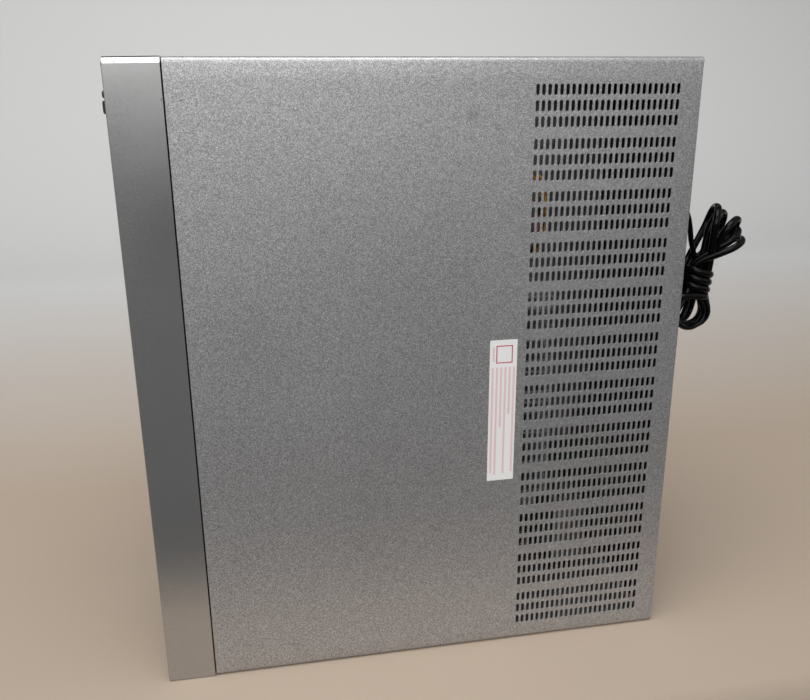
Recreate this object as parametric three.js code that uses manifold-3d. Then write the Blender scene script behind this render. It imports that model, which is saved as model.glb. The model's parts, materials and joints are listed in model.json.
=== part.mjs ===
// A hi-fi stereo receiver, standing on its right-hand end. +Z runs along the unit's width, the front
// panel faces -X, the rear panel faces +X, the vented top of the cover faces -Y and the feet face +Y.
// Millimetres. The origin is on the standing surface, under the middle of the unit's box.
import * as THREE from "three";
import { mergeVertices } from "three/addons/utils/BufferGeometryUtils.js";
import Module from "manifold-3d";

const wasm = await Module();
wasm.setup();

// ---- Driving dimensions ----

// The whole unit
const UNIT_WIDTH = 431; // cover, from end to end
const UNIT_DEPTH = 378.3; // fascia front to the cover's rear edge
const UNIT_HEIGHT = 145; // vented face to the chassis underside
const FOOT_HEIGHT = 14;
const GAP = 0.3; // between pieces that touch
const SHEET = 1.2; // sheet steel
const BEND_RADIUS = 3.4; // outside of the cover's two bends
const REAR_LIP = 9; // the vented face's rear edge, folded inwards

// The front panel, a drafted tray
const FASCIA_DEPTH = 33.5;
const FASCIA_PROUD = 0.4; // its rear rim past the cover, at each end
const FASCIA_DRAFT = 0.3; // its front edge, in from the cover's line
const FASCIA_WALL = 3;
const CHAMFER_WIDTH = 2.6; // the two corners of its high end: a long chamfer,
const CHAMFER_HEIGHT = 3.1;
const CREST_WIDTH = 2.4; // with a flatter facet over it
const CREST_HEIGHT = 0.9;
const LOW_CHAMFER = 0.6; // on the corners of its low end
const FRONT_EDGE = 0.4; // bevel round its front face
const SEAM_GAP = 1; // between fascia and cover

// Vent slots: groups of rows across the rear third of the cover
const SLOT_LENGTH = 7;
const SLOT_WIDTH = 2.3;
const SLOT_PITCH = 4.04;
const SLOT_COLUMNS = 25;
const ROW_PITCH = 10;
const ROWS_IN_GROUP = 3;
const GROUP_PITCH = 34;
const SLOT_TOP_MARGIN = 20; // first row's centre from the high end
const SLOT_LOW_MARGIN = 12; // least distance of the last row's centre from the low end
const SLOT_REAR_MARGIN = 16.8; // last column's centre from the rear edge

// Controls. "Drop" is the distance from the vented face, "rise" is measured up from the low end
const KNOB_PROUD = 9.4;
const KNOB_WELL = 7; // depth of the round recess that a knob turns in
const WELL_WALL = 2;
const KNOB_DROP = 84;
const VOLUME_RADIUS = 20;
const VOLUME_RISE = 62;
const INPUT_RADIUS = 14;
const INPUT_RISE = 118;
const SHAFT_RADIUS = 3;
const KNOB_CLEARANCE = 0.8;
const WINDOW_LOW = 152;
const WINDOW_FROM_TOP = 82; // its high edge from the high end
const WINDOW_DROP = 24;
const WINDOW_HEIGHT = 38;
const TUBE_END = 14; // display tube, in from the window's ends
const TUBE_SIDE = 6; // and in from its long edges
const BUTTON_CLEARANCE = 0.35;
const KEY_NAMES = ["band_key", "preset_down_key", "preset_up_key", "tone_key", "mode_key", "speaker_key"];
const COLLAR = 1.2; // the flange behind a button's cap
const BUTTON_CHAMFER = 0.8;
const KEY_HEIGHT = 6;
const KEY_SPACE = 14; // between one key and the next
const KEY_MARGIN = 15; // from the end keys to the window's ends
const KEY_PROUD = 2;
const KEY_DROP = 92;
const KEY_TRAVEL = 0.8;
const POWER_DROP = 34;
const POWER_FROM_TOP = 28.7; // button centre from the high end
const POWER_LENGTH = 8;
const POWER_HEIGHT = 8;
const POWER_PROUD = 6;
const POWER_TRAVEL = 3.5;
const STANDBY_FROM_TOP = 21.1;
const STANDBY_LENGTH = 4.4;
const STANDBY_PROUD = 5.7;
const POWER_STEM = 12; // ends of the two buttons' stems, from the fascia's front
const STANDBY_STEM = 10;
const PHONES_DROP = 108;
const PHONES_FROM_TOP = 37;
const PHONES_NECK = 5.4;
const PHONES_BORE = 3.25;
const SWITCH_BODY = 2.2; // thickness of a key's switch
const FRONT_BOARD_SETBACK = 16; // board's front face behind the fascia's front
const BOARD = 1.6;

// Chassis and fixings
const FLANGE_HEIGHT = 16;
const SCREW_DEPTHS = [96, 318]; // cover screws, from the fascia's front
const SCREW_RADIUS = 2;
const SCREW_HEAD_RADIUS = 4.6;
const DIMPLE_RADIUS = 6;
const FOOT_RADIUS = 22;
const FOOT_EDGE = 52; // foot centre from the chassis edges

// Insides
const BOARD_STANDOFF = 9;
const CORE_DEPTH = 84;
const CORE_WIDTH = 70;
const CORE_HEIGHT = 46;
const BULGE = 14; // the winding past the core, on each side
const TRANSFORMER_SETBACK = 66; // from the fascia's front
const TRANSFORMER_FROM_TOP = 26;
const SUPPLY_SETBACK = 60;
const SUPPLY_LENGTH = 92;
const SUPPLY_WIDTH = 34;
const SUPPLY_TO_CORE = 4; // from the supply board to the transformer
const HEATSINK_LENGTH = 160;
const HEATSINK_RISE = 118;
const HEATSINK_FROM_REAR = 88;
const HEATSINK_BASE = 5;
const FIN_LENGTH = 26;
const FIN_THICKNESS = 2;
const FIN_PITCH = 8;
const HEATSINK_COVER_GAP = 16;
const CAPACITOR_RADIUS = 17.5;
const CAPACITOR_HEIGHT = 52;

// Rear panel
const POST_PROUD = 20; // binding posts past the cover's rear edge
const POST_RADIUS = 6;
const POST_NECK = 2.5;
const POST_PITCH = 19;
const TERMINAL_HOLE = 5.3; // radius
const POST_RISE = 158;
const POST_DROP = 62;
const JACK_RISE = 34;
const JACK_PITCH = 16;
const JACK_COLUMNS = 6;
const JACK_ROWS = 2;
const JACK_LIFT = 49; // upper row of phono jacks, above the chassis underside
const AERIAL_RISE = 60;
const AERIAL_LIFT = 38; // aerial socket, above the upper row of jacks

// Mains lead
const LEAD_DIAMETER = 5.4;
const OUTLET_RISE = 330.5;
const OUTLET_DROP = 60;
const RELIEF_LENGTH = 20;
const RELIEF_NECK = 6; // radius in the panel's hole
const HANK_OUT = 42; // from the cover's rear edge to the hank's middle
const HANK_DROP = 66; // from the outlet down to the hank's middle
const FAN_DEPTHS = [-21.5, 23.5]; // the hank's upper part along Y, from the outlet
const NECK_DEPTH = 28; // the hank's wrapped part along Y
const PLUG_OUT = 18.5; // plug's middle from the cover's rear edge
const PLUG_BEHIND = 29.5; // plug's middle behind the outlet along Y
const PLUG_LENGTH = 40;
const PIN_LENGTH = 19;

// ---- Planes worked out from them ----

const FRONT_X = (KNOB_PROUD - POST_PROUD - UNIT_DEPTH) / 2;
const SEAM_X = FRONT_X + FASCIA_DEPTH;
const REAR_X = FRONT_X + UNIT_DEPTH;
const COVER_Y = -(UNIT_HEIGHT + FOOT_HEIGHT) / 2;
const BASE_Y = COVER_Y + UNIT_HEIGHT;
const LOW_Z = FASCIA_PROUD;
const HIGH_Z = LOW_Z + UNIT_WIDTH;
const PANEL_X = REAR_X - 2 * SHEET - GAP; // inner face of the rear panel
const FRAME_X = SEAM_X + SEAM_GAP + 1; // front face of the subframe
const FLANGE_LOW_Z = LOW_Z + 2 * SHEET + GAP; // outer faces of the chassis flanges
const FLANGE_HIGH_Z = HIGH_Z - 2 * SHEET - GAP;
const FLOOR_Y = BASE_Y - SHEET; // inner face of the chassis floor
const BOARD_Y = FLOOR_Y - BOARD_STANDOFF - BOARD; // component side of the floor boards
const BOARD_X = FRONT_X + FRONT_BOARD_SETBACK;
const WALL_X = FRONT_X + FASCIA_WALL;
const POWER_Z = HIGH_Z - POWER_FROM_TOP;
const STANDBY_Z = HIGH_Z - STANDBY_FROM_TOP;
const PHONES_Z = HIGH_Z - PHONES_FROM_TOP;
const WINDOW_LENGTH = UNIT_WIDTH - WINDOW_LOW - WINDOW_FROM_TOP;
const KEYS_LENGTH = WINDOW_LENGTH - 2 * KEY_MARGIN; // the whole row of keys
const KEY_LENGTH = (KEYS_LENGTH + KEY_SPACE) / KEY_NAMES.length - KEY_SPACE;
const FIRST_KEY_Z = LOW_Z + WINDOW_LOW + KEY_MARGIN + KEY_LENGTH / 2;

// ---- Materials ----

const paint = (color, roughness, metalness) =>
  new THREE.MeshStandardMaterial({ color, roughness, metalness });
const silverPaint = paint("#9b999b", 0.45, 0.7);
const silverPlastic = paint("#a3a2a1", 0.35, 0.6);
const zincSteel = paint("#a8acaf", 0.4, 0.9);
const blackPlastic = paint("#17171a", 0.5, 0);
const darkAcrylic = paint("#0d0d12", 0.1, 0);
const greenBoard = paint("#2c5a34", 0.6, 0);
const tanBoard = paint("#a98550", 0.7, 0);
const blackMetal = paint("#202022", 0.5, 0.6);
const aluminium = paint("#c0c2c4", 0.35, 0.9);
const lamination = paint("#55504a", 0.6, 0.7);
const tape = paint("#c8b45a", 0.6, 0);
const sleeve = paint("#1b2a55", 0.4, 0);
const blackLead = paint("#0c0c0e", 0.4, 0);
const brass = paint("#c9a64a", 0.3, 0.9);
const ribbonGrey = paint("#9a9a9c", 0.6, 0);
const yellowWire = paint("#c9982f", 0.5, 0);
const displayGlass = paint("#1f2a2c", 0.15, 0);

// ---- Geometry helpers ----

// A box between two planes on each axis.
function box(x0, x1, y0, y1, z0, z1) {
  const shape = new THREE.BoxGeometry(x1 - x0, y1 - y0, z1 - z0);
  return shape.translate((x0 + x1) / 2, (y0 + y1) / 2, (z0 + z1) / 2);
}

// Turns a shape that is built along +Y so that it runs along the named axis.
function alongAxis(shape, axis) {
  if (axis === "x") shape.rotateZ(-Math.PI / 2);
  if (axis === "z") shape.rotateX(Math.PI / 2);
  return shape;
}

// A round bar along an axis, from one place on it to another, centred on (x, y, z) across it.
function bar(axis, from, to, radius, x, y, z, sides = 24) {
  const shape = alongAxis(new THREE.CylinderGeometry(radius, radius, to - from, sides), axis);
  const middle = (from + to) / 2;
  return shape.translate(
    axis === "x" ? middle : x,
    axis === "y" ? middle : y,
    axis === "z" ? middle : z,
  );
}

// A turned shape about an axis. The profile holds [radius, distance along the axis] pairs.
function turned(profile, axis, sides = 32) {
  const points = profile.map(([radius, along]) => new THREE.Vector2(radius, along));
  return alongAxis(new THREE.LatheGeometry(points, sides), axis);
}

// An outline extruded along an axis. Its two coordinates are (y, z) for x, (x, z) for y, (x, y) for z.
function prism(outline, axis, from, to, curveSegments = 8) {
  const isShape = outline instanceof THREE.Shape;
  const shape = isShape ? outline : new THREE.Shape(outline.map((p) => new THREE.Vector2(...p)));
  const options = { depth: to - from, bevelEnabled: false, curveSegments };
  const geometry = new THREE.ExtrudeGeometry(shape, options);
  geometry.translate(0, 0, from);
  const unit = { x: [1, 0, 0], y: [0, 1, 0], z: [0, 0, 1] };
  const others = { x: ["y", "z"], y: ["x", "z"], z: ["x", "y"] }[axis];
  const basis = [...others, axis].map((name) => new THREE.Vector3(...unit[name]));
  return geometry.applyMatrix4(new THREE.Matrix4().makeBasis(...basis));
}

// A closed skin over rings of [y, z] points, one ring at each x, all with the same number of points.
function loft(sections) {
  const count = sections[0].ring.length;
  const at = (s, i) => [sections[s].x, ...sections[s].ring[i % count]];
  const corners = [];
  for (let s = 0; s + 1 < sections.length; s++)
    for (let i = 0; i < count; i++)
      corners.push(at(s, i), at(s, i + 1), at(s + 1, i), at(s + 1, i), at(s, i + 1), at(s + 1, i + 1));
  const last = sections.length - 1;
  for (let i = 1; i + 1 < count; i++)
    corners.push(at(0, 0), at(0, i + 1), at(0, i), at(last, 0), at(last, i), at(last, i + 1));
  const geometry = new THREE.BufferGeometry();
  geometry.setAttribute("position", new THREE.Float32BufferAttribute(corners.flat(), 3));
  return geometry;
}

// A rectangle in y and z with its corners cut off.
function chamferedRing(y0, y1, z0, z1, chamfer) {
  const c = chamfer;
  return [
    [y0 + c, z0], [y1 - c, z0], [y1, z0 + c], [y1, z1 - c],
    [y1 - c, z1], [y0 + c, z1], [y0, z1 - c], [y0, z0 + c],
  ];
}

// The front panel's section in y and z: small chamfers at its low end, two facets at each high corner.
function fasciaRing(y0, y1, z0, z1) {
  const crestZ = z1 - CREST_HEIGHT;
  const shoulderZ = crestZ - CHAMFER_HEIGHT;
  const top = CHAMFER_WIDTH + CREST_WIDTH;
  return [
    [y0 + LOW_CHAMFER, z0], [y1 - LOW_CHAMFER, z0], [y1, z0 + LOW_CHAMFER], [y1, shoulderZ],
    [y1 - CHAMFER_WIDTH, crestZ], [y1 - top, z1], [y0 + top, z1], [y0 + CHAMFER_WIDTH, crestZ],
    [y0, shoulderZ], [y0, z0 + LOW_CHAMFER],
  ];
}

// A closed mesh as a solid body with its faces pointing out.
function solid(geometry) {
  const bare = geometry.clone();
  bare.deleteAttribute("normal");
  bare.deleteAttribute("uv");
  const merged = mergeVertices(bare, 1e-4);
  const index = merged.index.array;
  const position = merged.getAttribute("position");
  const kept = [];
  const a = new THREE.Vector3();
  const b = new THREE.Vector3();
  const c = new THREE.Vector3();
  let volume = 0;
  for (let i = 0; i < index.length; i += 3) {
    const [p, q, r] = [index[i], index[i + 1], index[i + 2]];
    if (p === q || q === r || r === p) continue;
    kept.push([p, q, r]);
    a.fromBufferAttribute(position, p);
    b.fromBufferAttribute(position, q);
    c.fromBufferAttribute(position, r);
    volume += a.dot(b.cross(c));
  }
  const triangles = volume < 0 ? kept.map(([p, q, r]) => [p, r, q]) : kept;
  return new wasm.Manifold(
    new wasm.Mesh({
      numProp: 3,
      vertProperties: new Float32Array(position.array),
      triVerts: new Uint32Array(triangles.flat()),
    }),
  );
}

// The geometry of a solid body.
function geometryOf(body) {
  const mesh = body.getMesh();
  const position = new Float32Array(mesh.numVert * 3);
  for (let i = 0; i < mesh.numVert; i++)
    position.set(mesh.vertProperties.subarray(i * mesh.numProp, i * mesh.numProp + 3), i * 3);
  const geometry = new THREE.BufferGeometry();
  geometry.setAttribute("position", new THREE.BufferAttribute(position, 3));
  geometry.setIndex(new THREE.BufferAttribute(new Uint32Array(mesh.triVerts), 1));
  geometry.computeVertexNormals();
  return geometry;
}

const faceOut = (shape) => geometryOf(solid(shape));
const join = (...shapes) => geometryOf(shapes.map(solid).reduce((sum, next) => sum.add(next)));
const cut = (base, ...tools) =>
  geometryOf(tools.map(solid).reduce((left, tool) => left.subtract(tool), solid(base)));

// ---- The model ----

const receiver = new THREE.Group();

function add(name, geometry, material, x = 0, y = 0, z = 0) {
  const mesh = new THREE.Mesh(geometry, material);
  mesh.name = name;
  mesh.position.set(x, y, z);
  receiver.add(mesh);
}

// ---- Cover, chassis and feet ----

// The cover's U section: a flat vented face and two ends, with rounded bends.
function coverSection() {
  const section = new THREE.Shape();
  const bendY = COVER_Y + BEND_RADIUS;
  const lowBend = LOW_Z + BEND_RADIUS;
  const highBend = HIGH_Z - BEND_RADIUS;
  const inner = BEND_RADIUS - SHEET;
  section.moveTo(BASE_Y, LOW_Z);
  section.lineTo(bendY, LOW_Z);
  section.absarc(bendY, lowBend, BEND_RADIUS, -Math.PI / 2, -Math.PI, true);
  section.lineTo(COVER_Y, highBend);
  section.absarc(bendY, highBend, BEND_RADIUS, Math.PI, Math.PI / 2, true);
  section.lineTo(BASE_Y, HIGH_Z);
  section.lineTo(BASE_Y, HIGH_Z - SHEET);
  section.absarc(bendY, highBend, inner, Math.PI / 2, Math.PI, false);
  section.lineTo(COVER_Y + SHEET, lowBend);
  section.absarc(bendY, lowBend, inner, -Math.PI, -Math.PI / 2, false);
  section.lineTo(BASE_Y, LOW_Z + SHEET);
  section.closePath();
  return section;
}

// The centre heights of all slot rows.
function slotRows() {
  const room = UNIT_WIDTH - SLOT_TOP_MARGIN - SLOT_LOW_MARGIN - (ROWS_IN_GROUP - 1) * ROW_PITCH;
  const groups = Math.floor(room / GROUP_PITCH) + 1;
  const rows = [];
  for (let group = 0; group < groups; group++)
    for (let row = 0; row < ROWS_IN_GROUP; row++)
      rows.push(HIGH_Z - SLOT_TOP_MARGIN - group * GROUP_PITCH - row * ROW_PITCH);
  return rows;
}

const screwY = BASE_Y - FLANGE_HEIGHT / 2;
const screwXs = SCREW_DEPTHS.map((depth) => FRONT_X + Math.min(depth, UNIT_DEPTH - 40));

// Each row of slots is one long opening here, as wide as the row.
function topCover() {
  const shell = prism(coverSection(), "x", SEAM_X + SEAM_GAP / 2, REAR_X);
  const lip = box(
    REAR_X - SHEET, REAR_X, COVER_Y + SHEET / 2, COVER_Y + REAR_LIP,
    LOW_Z + BEND_RADIUS, HIGH_Z - BEND_RADIUS,
  );
  const lastX = REAR_X - SLOT_REAR_MARGIN + SLOT_WIDTH / 2;
  const firstX = lastX - SLOT_WIDTH - (SLOT_COLUMNS - 1) * SLOT_PITCH;
  const openings = slotRows().map((z) =>
    box(firstX, lastX, COVER_Y - 1, COVER_Y + SHEET + 1, z - SLOT_LENGTH / 2, z + SLOT_LENGTH / 2));
  const cups = [];
  const holes = [];
  for (const x of screwXs) {
    cups.push(bar("z", LOW_Z + SHEET / 2, LOW_Z + 2 * SHEET, DIMPLE_RADIUS + SHEET, x, screwY, 0, 20));
    cups.push(bar("z", HIGH_Z - 2 * SHEET, HIGH_Z - SHEET / 2, DIMPLE_RADIUS + SHEET, x, screwY, 0, 20));
    holes.push(bar("z", LOW_Z - 1, LOW_Z + SHEET, DIMPLE_RADIUS, x, screwY, 0, 20));
    holes.push(bar("z", HIGH_Z - SHEET, HIGH_Z + 1, DIMPLE_RADIUS, x, screwY, 0, 20));
    holes.push(bar("z", LOW_Z - 1, LOW_Z + 3 * SHEET, SCREW_RADIUS + GAP, x, screwY, 0, 12));
    holes.push(bar("z", HIGH_Z - 3 * SHEET, HIGH_Z + 1, SCREW_RADIUS + GAP, x, screwY, 0, 12));
  }
  return cut(join(shell, lip, ...cups), ...openings, ...holes);
}
add("top_cover", topCover(), silverPaint);

const footXs = [FRONT_X + FOOT_EDGE, REAR_X - FOOT_EDGE];
const footZs = [LOW_Z + FOOT_EDGE, HIGH_Z - FOOT_EDGE];
const footPlaces = footXs.flatMap((x) => footZs.map((z) => [x, z]));

// A floor pan with a flange along each end and along the front.
function chassisBase() {
  const frontX = FRAME_X + SHEET + GAP;
  const rearX = PANEL_X - GAP;
  const floor = box(frontX, rearX, FLOOR_Y, BASE_Y, FLANGE_LOW_Z, FLANGE_HIGH_Z);
  const flangeY = BASE_Y - FLANGE_HEIGHT;
  const flanges = [
    box(frontX, rearX, flangeY, BASE_Y, FLANGE_LOW_Z, FLANGE_LOW_Z + SHEET),
    box(frontX, rearX, flangeY, BASE_Y, FLANGE_HIGH_Z - SHEET, FLANGE_HIGH_Z),
    box(frontX, frontX + SHEET, flangeY, BASE_Y, FLANGE_LOW_Z, FLANGE_HIGH_Z),
  ];
  const screwHoles = screwXs.flatMap((x) => [
    bar("z", FLANGE_LOW_Z - 1, FLANGE_LOW_Z + SHEET + 1, SCREW_RADIUS + GAP, x, screwY, 0, 12),
    bar("z", FLANGE_HIGH_Z - SHEET - 1, FLANGE_HIGH_Z + 1, SCREW_RADIUS + GAP, x, screwY, 0, 12),
  ]);
  const footHoles = footPlaces.map(([x, z]) =>
    bar("y", FLOOR_Y - 1, BASE_Y + 1, SCREW_RADIUS + GAP, x, 0, z, 12));
  return cut(join(floor, ...flanges), ...screwHoles, ...footHoles);
}
add("chassis_base", chassisBase(), zincSteel);

// A foot: a stepped disc with a hollow underside rim, its stud through the chassis floor.
function foot() {
  const stud = SCREW_RADIUS;
  return faceOut(turned([
    [0, -SHEET - 4], [stud, -SHEET - 4], [stud, GAP], [FOOT_RADIUS - 3, GAP], [FOOT_RADIUS, 3],
    [FOOT_RADIUS, FOOT_HEIGHT - 4], [FOOT_RADIUS - 2, FOOT_HEIGHT], [FOOT_RADIUS - 9, FOOT_HEIGHT],
    [FOOT_RADIUS - 10, FOOT_HEIGHT - 3], [0, FOOT_HEIGHT - 3],
  ], "y", 24));
}
footPlaces.forEach(([x, z], i) => add(`foot_${i + 1}`, foot(), blackPlastic, x, BASE_Y, z));

// A cover screw: a low round head and a shank, pointing along +Z from its outer face.
function coverScrew() {
  const head = FASCIA_PROUD + SHEET - GAP;
  return faceOut(turned([
    [0, 0], [SCREW_HEAD_RADIUS - 1.2, 0], [SCREW_HEAD_RADIUS, 0.9], [SCREW_HEAD_RADIUS, head],
    [SCREW_RADIUS, head], [SCREW_RADIUS, 10], [0, 10],
  ], "z", 14));
}
screwXs.forEach((x, i) => {
  add(`low_screw_${i + 1}`, coverScrew(), silverPaint, x, screwY, 0);
  const turnedOver = faceOut(coverScrew().scale(1, 1, -1));
  add(`high_screw_${i + 1}`, turnedOver, silverPaint, x, screwY, HIGH_Z + FASCIA_PROUD);
});

// ---- Front panel ----

const volumeZ = LOW_Z + VOLUME_RISE;
const inputZ = LOW_Z + INPUT_RISE;
const knobY = COVER_Y + KNOB_DROP;
const windowY = COVER_Y + WINDOW_DROP;
const windowZ = LOW_Z + WINDOW_LOW;
const keyY = COVER_Y + KEY_DROP;
const powerY = COVER_Y + POWER_DROP;
const phonesY = COVER_Y + PHONES_DROP;
const keyZs = KEY_NAMES.map((_, i) => FIRST_KEY_Z + i * (KEY_LENGTH + KEY_SPACE));
const wellFloorX = FRONT_X + KNOB_WELL;
const BORE_END = 5 - KNOB_PROUD; // the end of a knob's bore, from the fascia's front

// A hole for a button of the given size through the fascia's front wall.
function buttonHole(y, z, height, length) {
  const h = height / 2 + BUTTON_CLEARANCE;
  const l = length / 2 + BUTTON_CLEARANCE;
  return box(FRONT_X - 1, WALL_X + 1, y - h, y + h, z - l, z + l);
}

// A drafted tray with round wells for the knobs and holes for the rest.
function fascia() {
  const rearX = SEAM_X - SEAM_GAP / 2;
  // The outside, drawn in by the draft on the vented face's side, and by the edge all round.
  const outerRing = (draft, edge, proud) =>
    fasciaRing(COVER_Y + draft + edge, BASE_Y - edge, LOW_Z - proud + edge, HIGH_Z + proud - edge);
  const outer = loft([
    { x: FRONT_X, ring: outerRing(FASCIA_DRAFT, FRONT_EDGE, 0) },
    { x: FRONT_X + FRONT_EDGE, ring: outerRing(FASCIA_DRAFT, 0, 0) },
    { x: rearX, ring: outerRing(0, 0, FASCIA_PROUD) },
  ]);
  const w = FASCIA_WALL;
  const innerRing = fasciaRing(COVER_Y + w, BASE_Y - w, LOW_Z + w, HIGH_Z - w);
  const hollow = loft([{ x: WALL_X, ring: innerRing }, { x: rearX + 1, ring: innerRing }]);
  const knobs = [[volumeZ, VOLUME_RADIUS], [inputZ, INPUT_RADIUS]];
  const round = (from, to, radius, z) => bar("x", from, to, radius, 0, knobY, z, 36);
  const cupRadius = (r) => r + KNOB_CLEARANCE + WELL_WALL;
  const cups = knobs.map(([z, r]) => round(FRONT_X + 1, wellFloorX + WELL_WALL, cupRadius(r), z));
  const wells = knobs.map(([z, r]) => round(FRONT_X - 1, wellFloorX, r + KNOB_CLEARANCE, z));
  const shafts = knobs.map(([z]) => round(FRONT_X, wellFloorX + WELL_WALL + 1, SHAFT_RADIUS + 1, z));
  const window = box(
    FRONT_X - 1, WALL_X + 1, windowY, windowY + WINDOW_HEIGHT, windowZ, windowZ + WINDOW_LENGTH,
  );
  const keys = keyZs.map((z) => buttonHole(keyY, z, KEY_HEIGHT, KEY_LENGTH));
  const power = buttonHole(powerY, POWER_Z, POWER_HEIGHT, POWER_LENGTH);
  const standby = buttonHole(powerY, STANDBY_Z, POWER_HEIGHT, STANDBY_LENGTH);
  const phones = bar("x", FRONT_X - 1, WALL_X + 1, PHONES_NECK + 0.4, 0, phonesY, PHONES_Z, 24);
  const tray = join(cut(outer, hollow), ...cups);
  return cut(tray, ...wells, ...shafts, window, ...keys, power, standby, phones);
}
add("front_fascia", fascia(), silverPlastic);

add("display_window", box(
  FRONT_X + 0.6, FRONT_X + 2.6, windowY + GAP, windowY + WINDOW_HEIGHT - GAP,
  windowZ + GAP, windowZ + WINDOW_LENGTH - GAP,
), darkAcrylic);

// The display: a flat glass tube with a sealing nipple, between the window and the front board.
function displayTube() {
  const highEnd = windowZ + WINDOW_LENGTH - TUBE_END;
  const glass = box(
    FRONT_X + 5, FRONT_X + 11, windowY + TUBE_SIDE, windowY + WINDOW_HEIGHT - TUBE_SIDE,
    windowZ + TUBE_END, highEnd,
  );
  const nipple = bar("z", highEnd - 1, highEnd + 5, 2, FRONT_X + 8, windowY + WINDOW_HEIGHT / 2, 0, 12);
  return join(glass, nipple);
}
add("display_tube", displayTube(), displayGlass);

// The front board, with a small switch body behind each key.
function frontBoard() {
  const top = COVER_Y + FASCIA_WALL + 8;
  const bottom = BASE_Y - FASCIA_WALL - 12;
  const board = box(BOARD_X, BOARD_X + BOARD, top, bottom, LOW_Z + 34, PHONES_Z - 20);
  const switchBody = (y, z) => box(BOARD_X - SWITCH_BODY, BOARD_X + BOARD / 2, y - 3, y + 3, z - 3, z + 3);
  return join(board, ...keyZs.map((z) => switchBody(keyY, z)));
}
add("front_board", frontBoard(), greenBoard);

// A turned knob, bored for its shaft from behind, with a chamfered face and a dished front.
function knob(radius) {
  const back = KNOB_WELL - GAP;
  const bore = SHAFT_RADIUS + GAP;
  const dish = 0.8 - KNOB_PROUD;
  return faceOut(turned([
    [0, dish], [radius - 5, dish], [radius - 3.4, -KNOB_PROUD], [radius - 1.4, -KNOB_PROUD],
    [radius - 0.6, 0.9 - KNOB_PROUD], [radius, back], [bore, back], [bore, BORE_END], [0, BORE_END],
  ], "x", 36));
}

// A rotary encoder body with a threaded neck, open for its shaft.
function encoder() {
  const frontX = KNOB_WELL + WELL_WALL + GAP;
  const body = box(frontX, FRONT_BOARD_SETBACK - GAP, -7, 7, -7, 7);
  const hole = bar("x", frontX - 1, FRONT_BOARD_SETBACK, SHAFT_RADIUS + GAP, 0, 0, 0, 16);
  return cut(body, hole);
}

// A turning shaft from inside the knob to the back of the encoder.
function shaft() {
  return faceOut(bar("x", BORE_END + GAP, FRONT_BOARD_SETBACK - 2 * GAP, SHAFT_RADIUS, 0, 0, 0, 16));
}
for (const [name, radius, z] of [["volume", VOLUME_RADIUS, volumeZ], ["input", INPUT_RADIUS, inputZ]]) {
  add(`${name}_knob`, knob(radius), silverPlastic, FRONT_X, knobY, z);
  add(`${name}_shaft`, shaft(), aluminium, FRONT_X, knobY, z);
  add(`${name}_encoder`, encoder(), zincSteel, FRONT_X, knobY, z);
}

// A push button: a cap through the fascia, a collar behind it that is wider along Y, and a stem back
// to its switch.
function button(height, length, proud, travel, stemEnd) {
  const capBack = FASCIA_WALL + travel + GAP;
  const collarX = FASCIA_WALL + GAP;
  const [h, l] = [height / 2, length / 2];
  const ring = (edge) => chamferedRing(edge - h, h - edge, edge - l, l - edge, BUTTON_CHAMFER);
  const cap = loft([
    { x: -proud, ring: ring(0.5) },
    { x: -proud + 0.6, ring: ring(0) },
    { x: capBack, ring: ring(0) },
  ]);
  const collar = box(collarX, collarX + COLLAR, -h - COLLAR, h + COLLAR, -l, l);
  const stem = box(FASCIA_WALL, stemEnd, -1.5, 1.5, -1.5, 1.5);
  return join(cap, collar, stem);
}
const switchFace = FRONT_BOARD_SETBACK - SWITCH_BODY;
const keyStemEnd = switchFace - KEY_TRAVEL - GAP;
const key = () => button(KEY_HEIGHT, KEY_LENGTH, KEY_PROUD, KEY_TRAVEL, keyStemEnd);
KEY_NAMES.forEach((name, i) => add(name, key(), silverPlastic, FRONT_X, keyY, keyZs[i]));
const powerCap = button(POWER_HEIGHT, POWER_LENGTH, POWER_PROUD, POWER_TRAVEL, POWER_STEM);
const standbyCap = button(POWER_HEIGHT, STANDBY_LENGTH, STANDBY_PROUD, KEY_TRAVEL, STANDBY_STEM);
add("power_button", powerCap, blackPlastic, FRONT_X, powerY, POWER_Z);
add("standby_button", standbyCap, blackPlastic, FRONT_X, powerY, STANDBY_Z);

// The power switch block behind its button; the standby button works on its side wing.
function powerSwitch() {
  const frontX = FRONT_X + POWER_STEM + POWER_TRAVEL + GAP;
  const wingX = FRONT_X + STANDBY_STEM + KEY_TRAVEL + 1;
  const block = box(frontX, frontX + 14, powerY - 9, powerY + 9, POWER_Z - 8, POWER_Z + 8);
  const wing = box(wingX, frontX + 3, powerY - 4, powerY + 4, STANDBY_Z - 1, STANDBY_Z + 4);
  return join(block, wing);
}
add("power_switch", powerSwitch(), blackPlastic);

// The headphone jack: a square body with a round threaded neck and one bore.
function phonesJack() {
  const body = box(WALL_X + GAP, FRONT_X + 26, phonesY - 8, phonesY + 8, PHONES_Z - 7.5, PHONES_Z + 7.5);
  const neck = bar("x", FRONT_X - 1.5, WALL_X + 1, PHONES_NECK, 0, phonesY, PHONES_Z, 24);
  const bore = bar("x", FRONT_X - 2, FRONT_X + 22, PHONES_BORE, 0, phonesY, PHONES_Z, 24);
  return cut(join(body, neck), bore);
}
add("headphone_jack", phonesJack(), blackPlastic);

// A steel frame behind the fascia, cut away for the boards' cables and the switch.
function subframe() {
  const plate = box(
    FRAME_X, FRAME_X + SHEET, COVER_Y + SHEET + GAP, BASE_Y - GAP, FLANGE_LOW_Z, FLANGE_HIGH_Z,
  );
  const middle = box(FRAME_X - 1, FRAME_X + 3, COVER_Y + 18, BASE_Y - 30, LOW_Z + 40, PHONES_Z - 30);
  return cut(plate, middle);
}
add("front_subframe", subframe(), zincSteel);

// ---- Power supply ----

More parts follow.
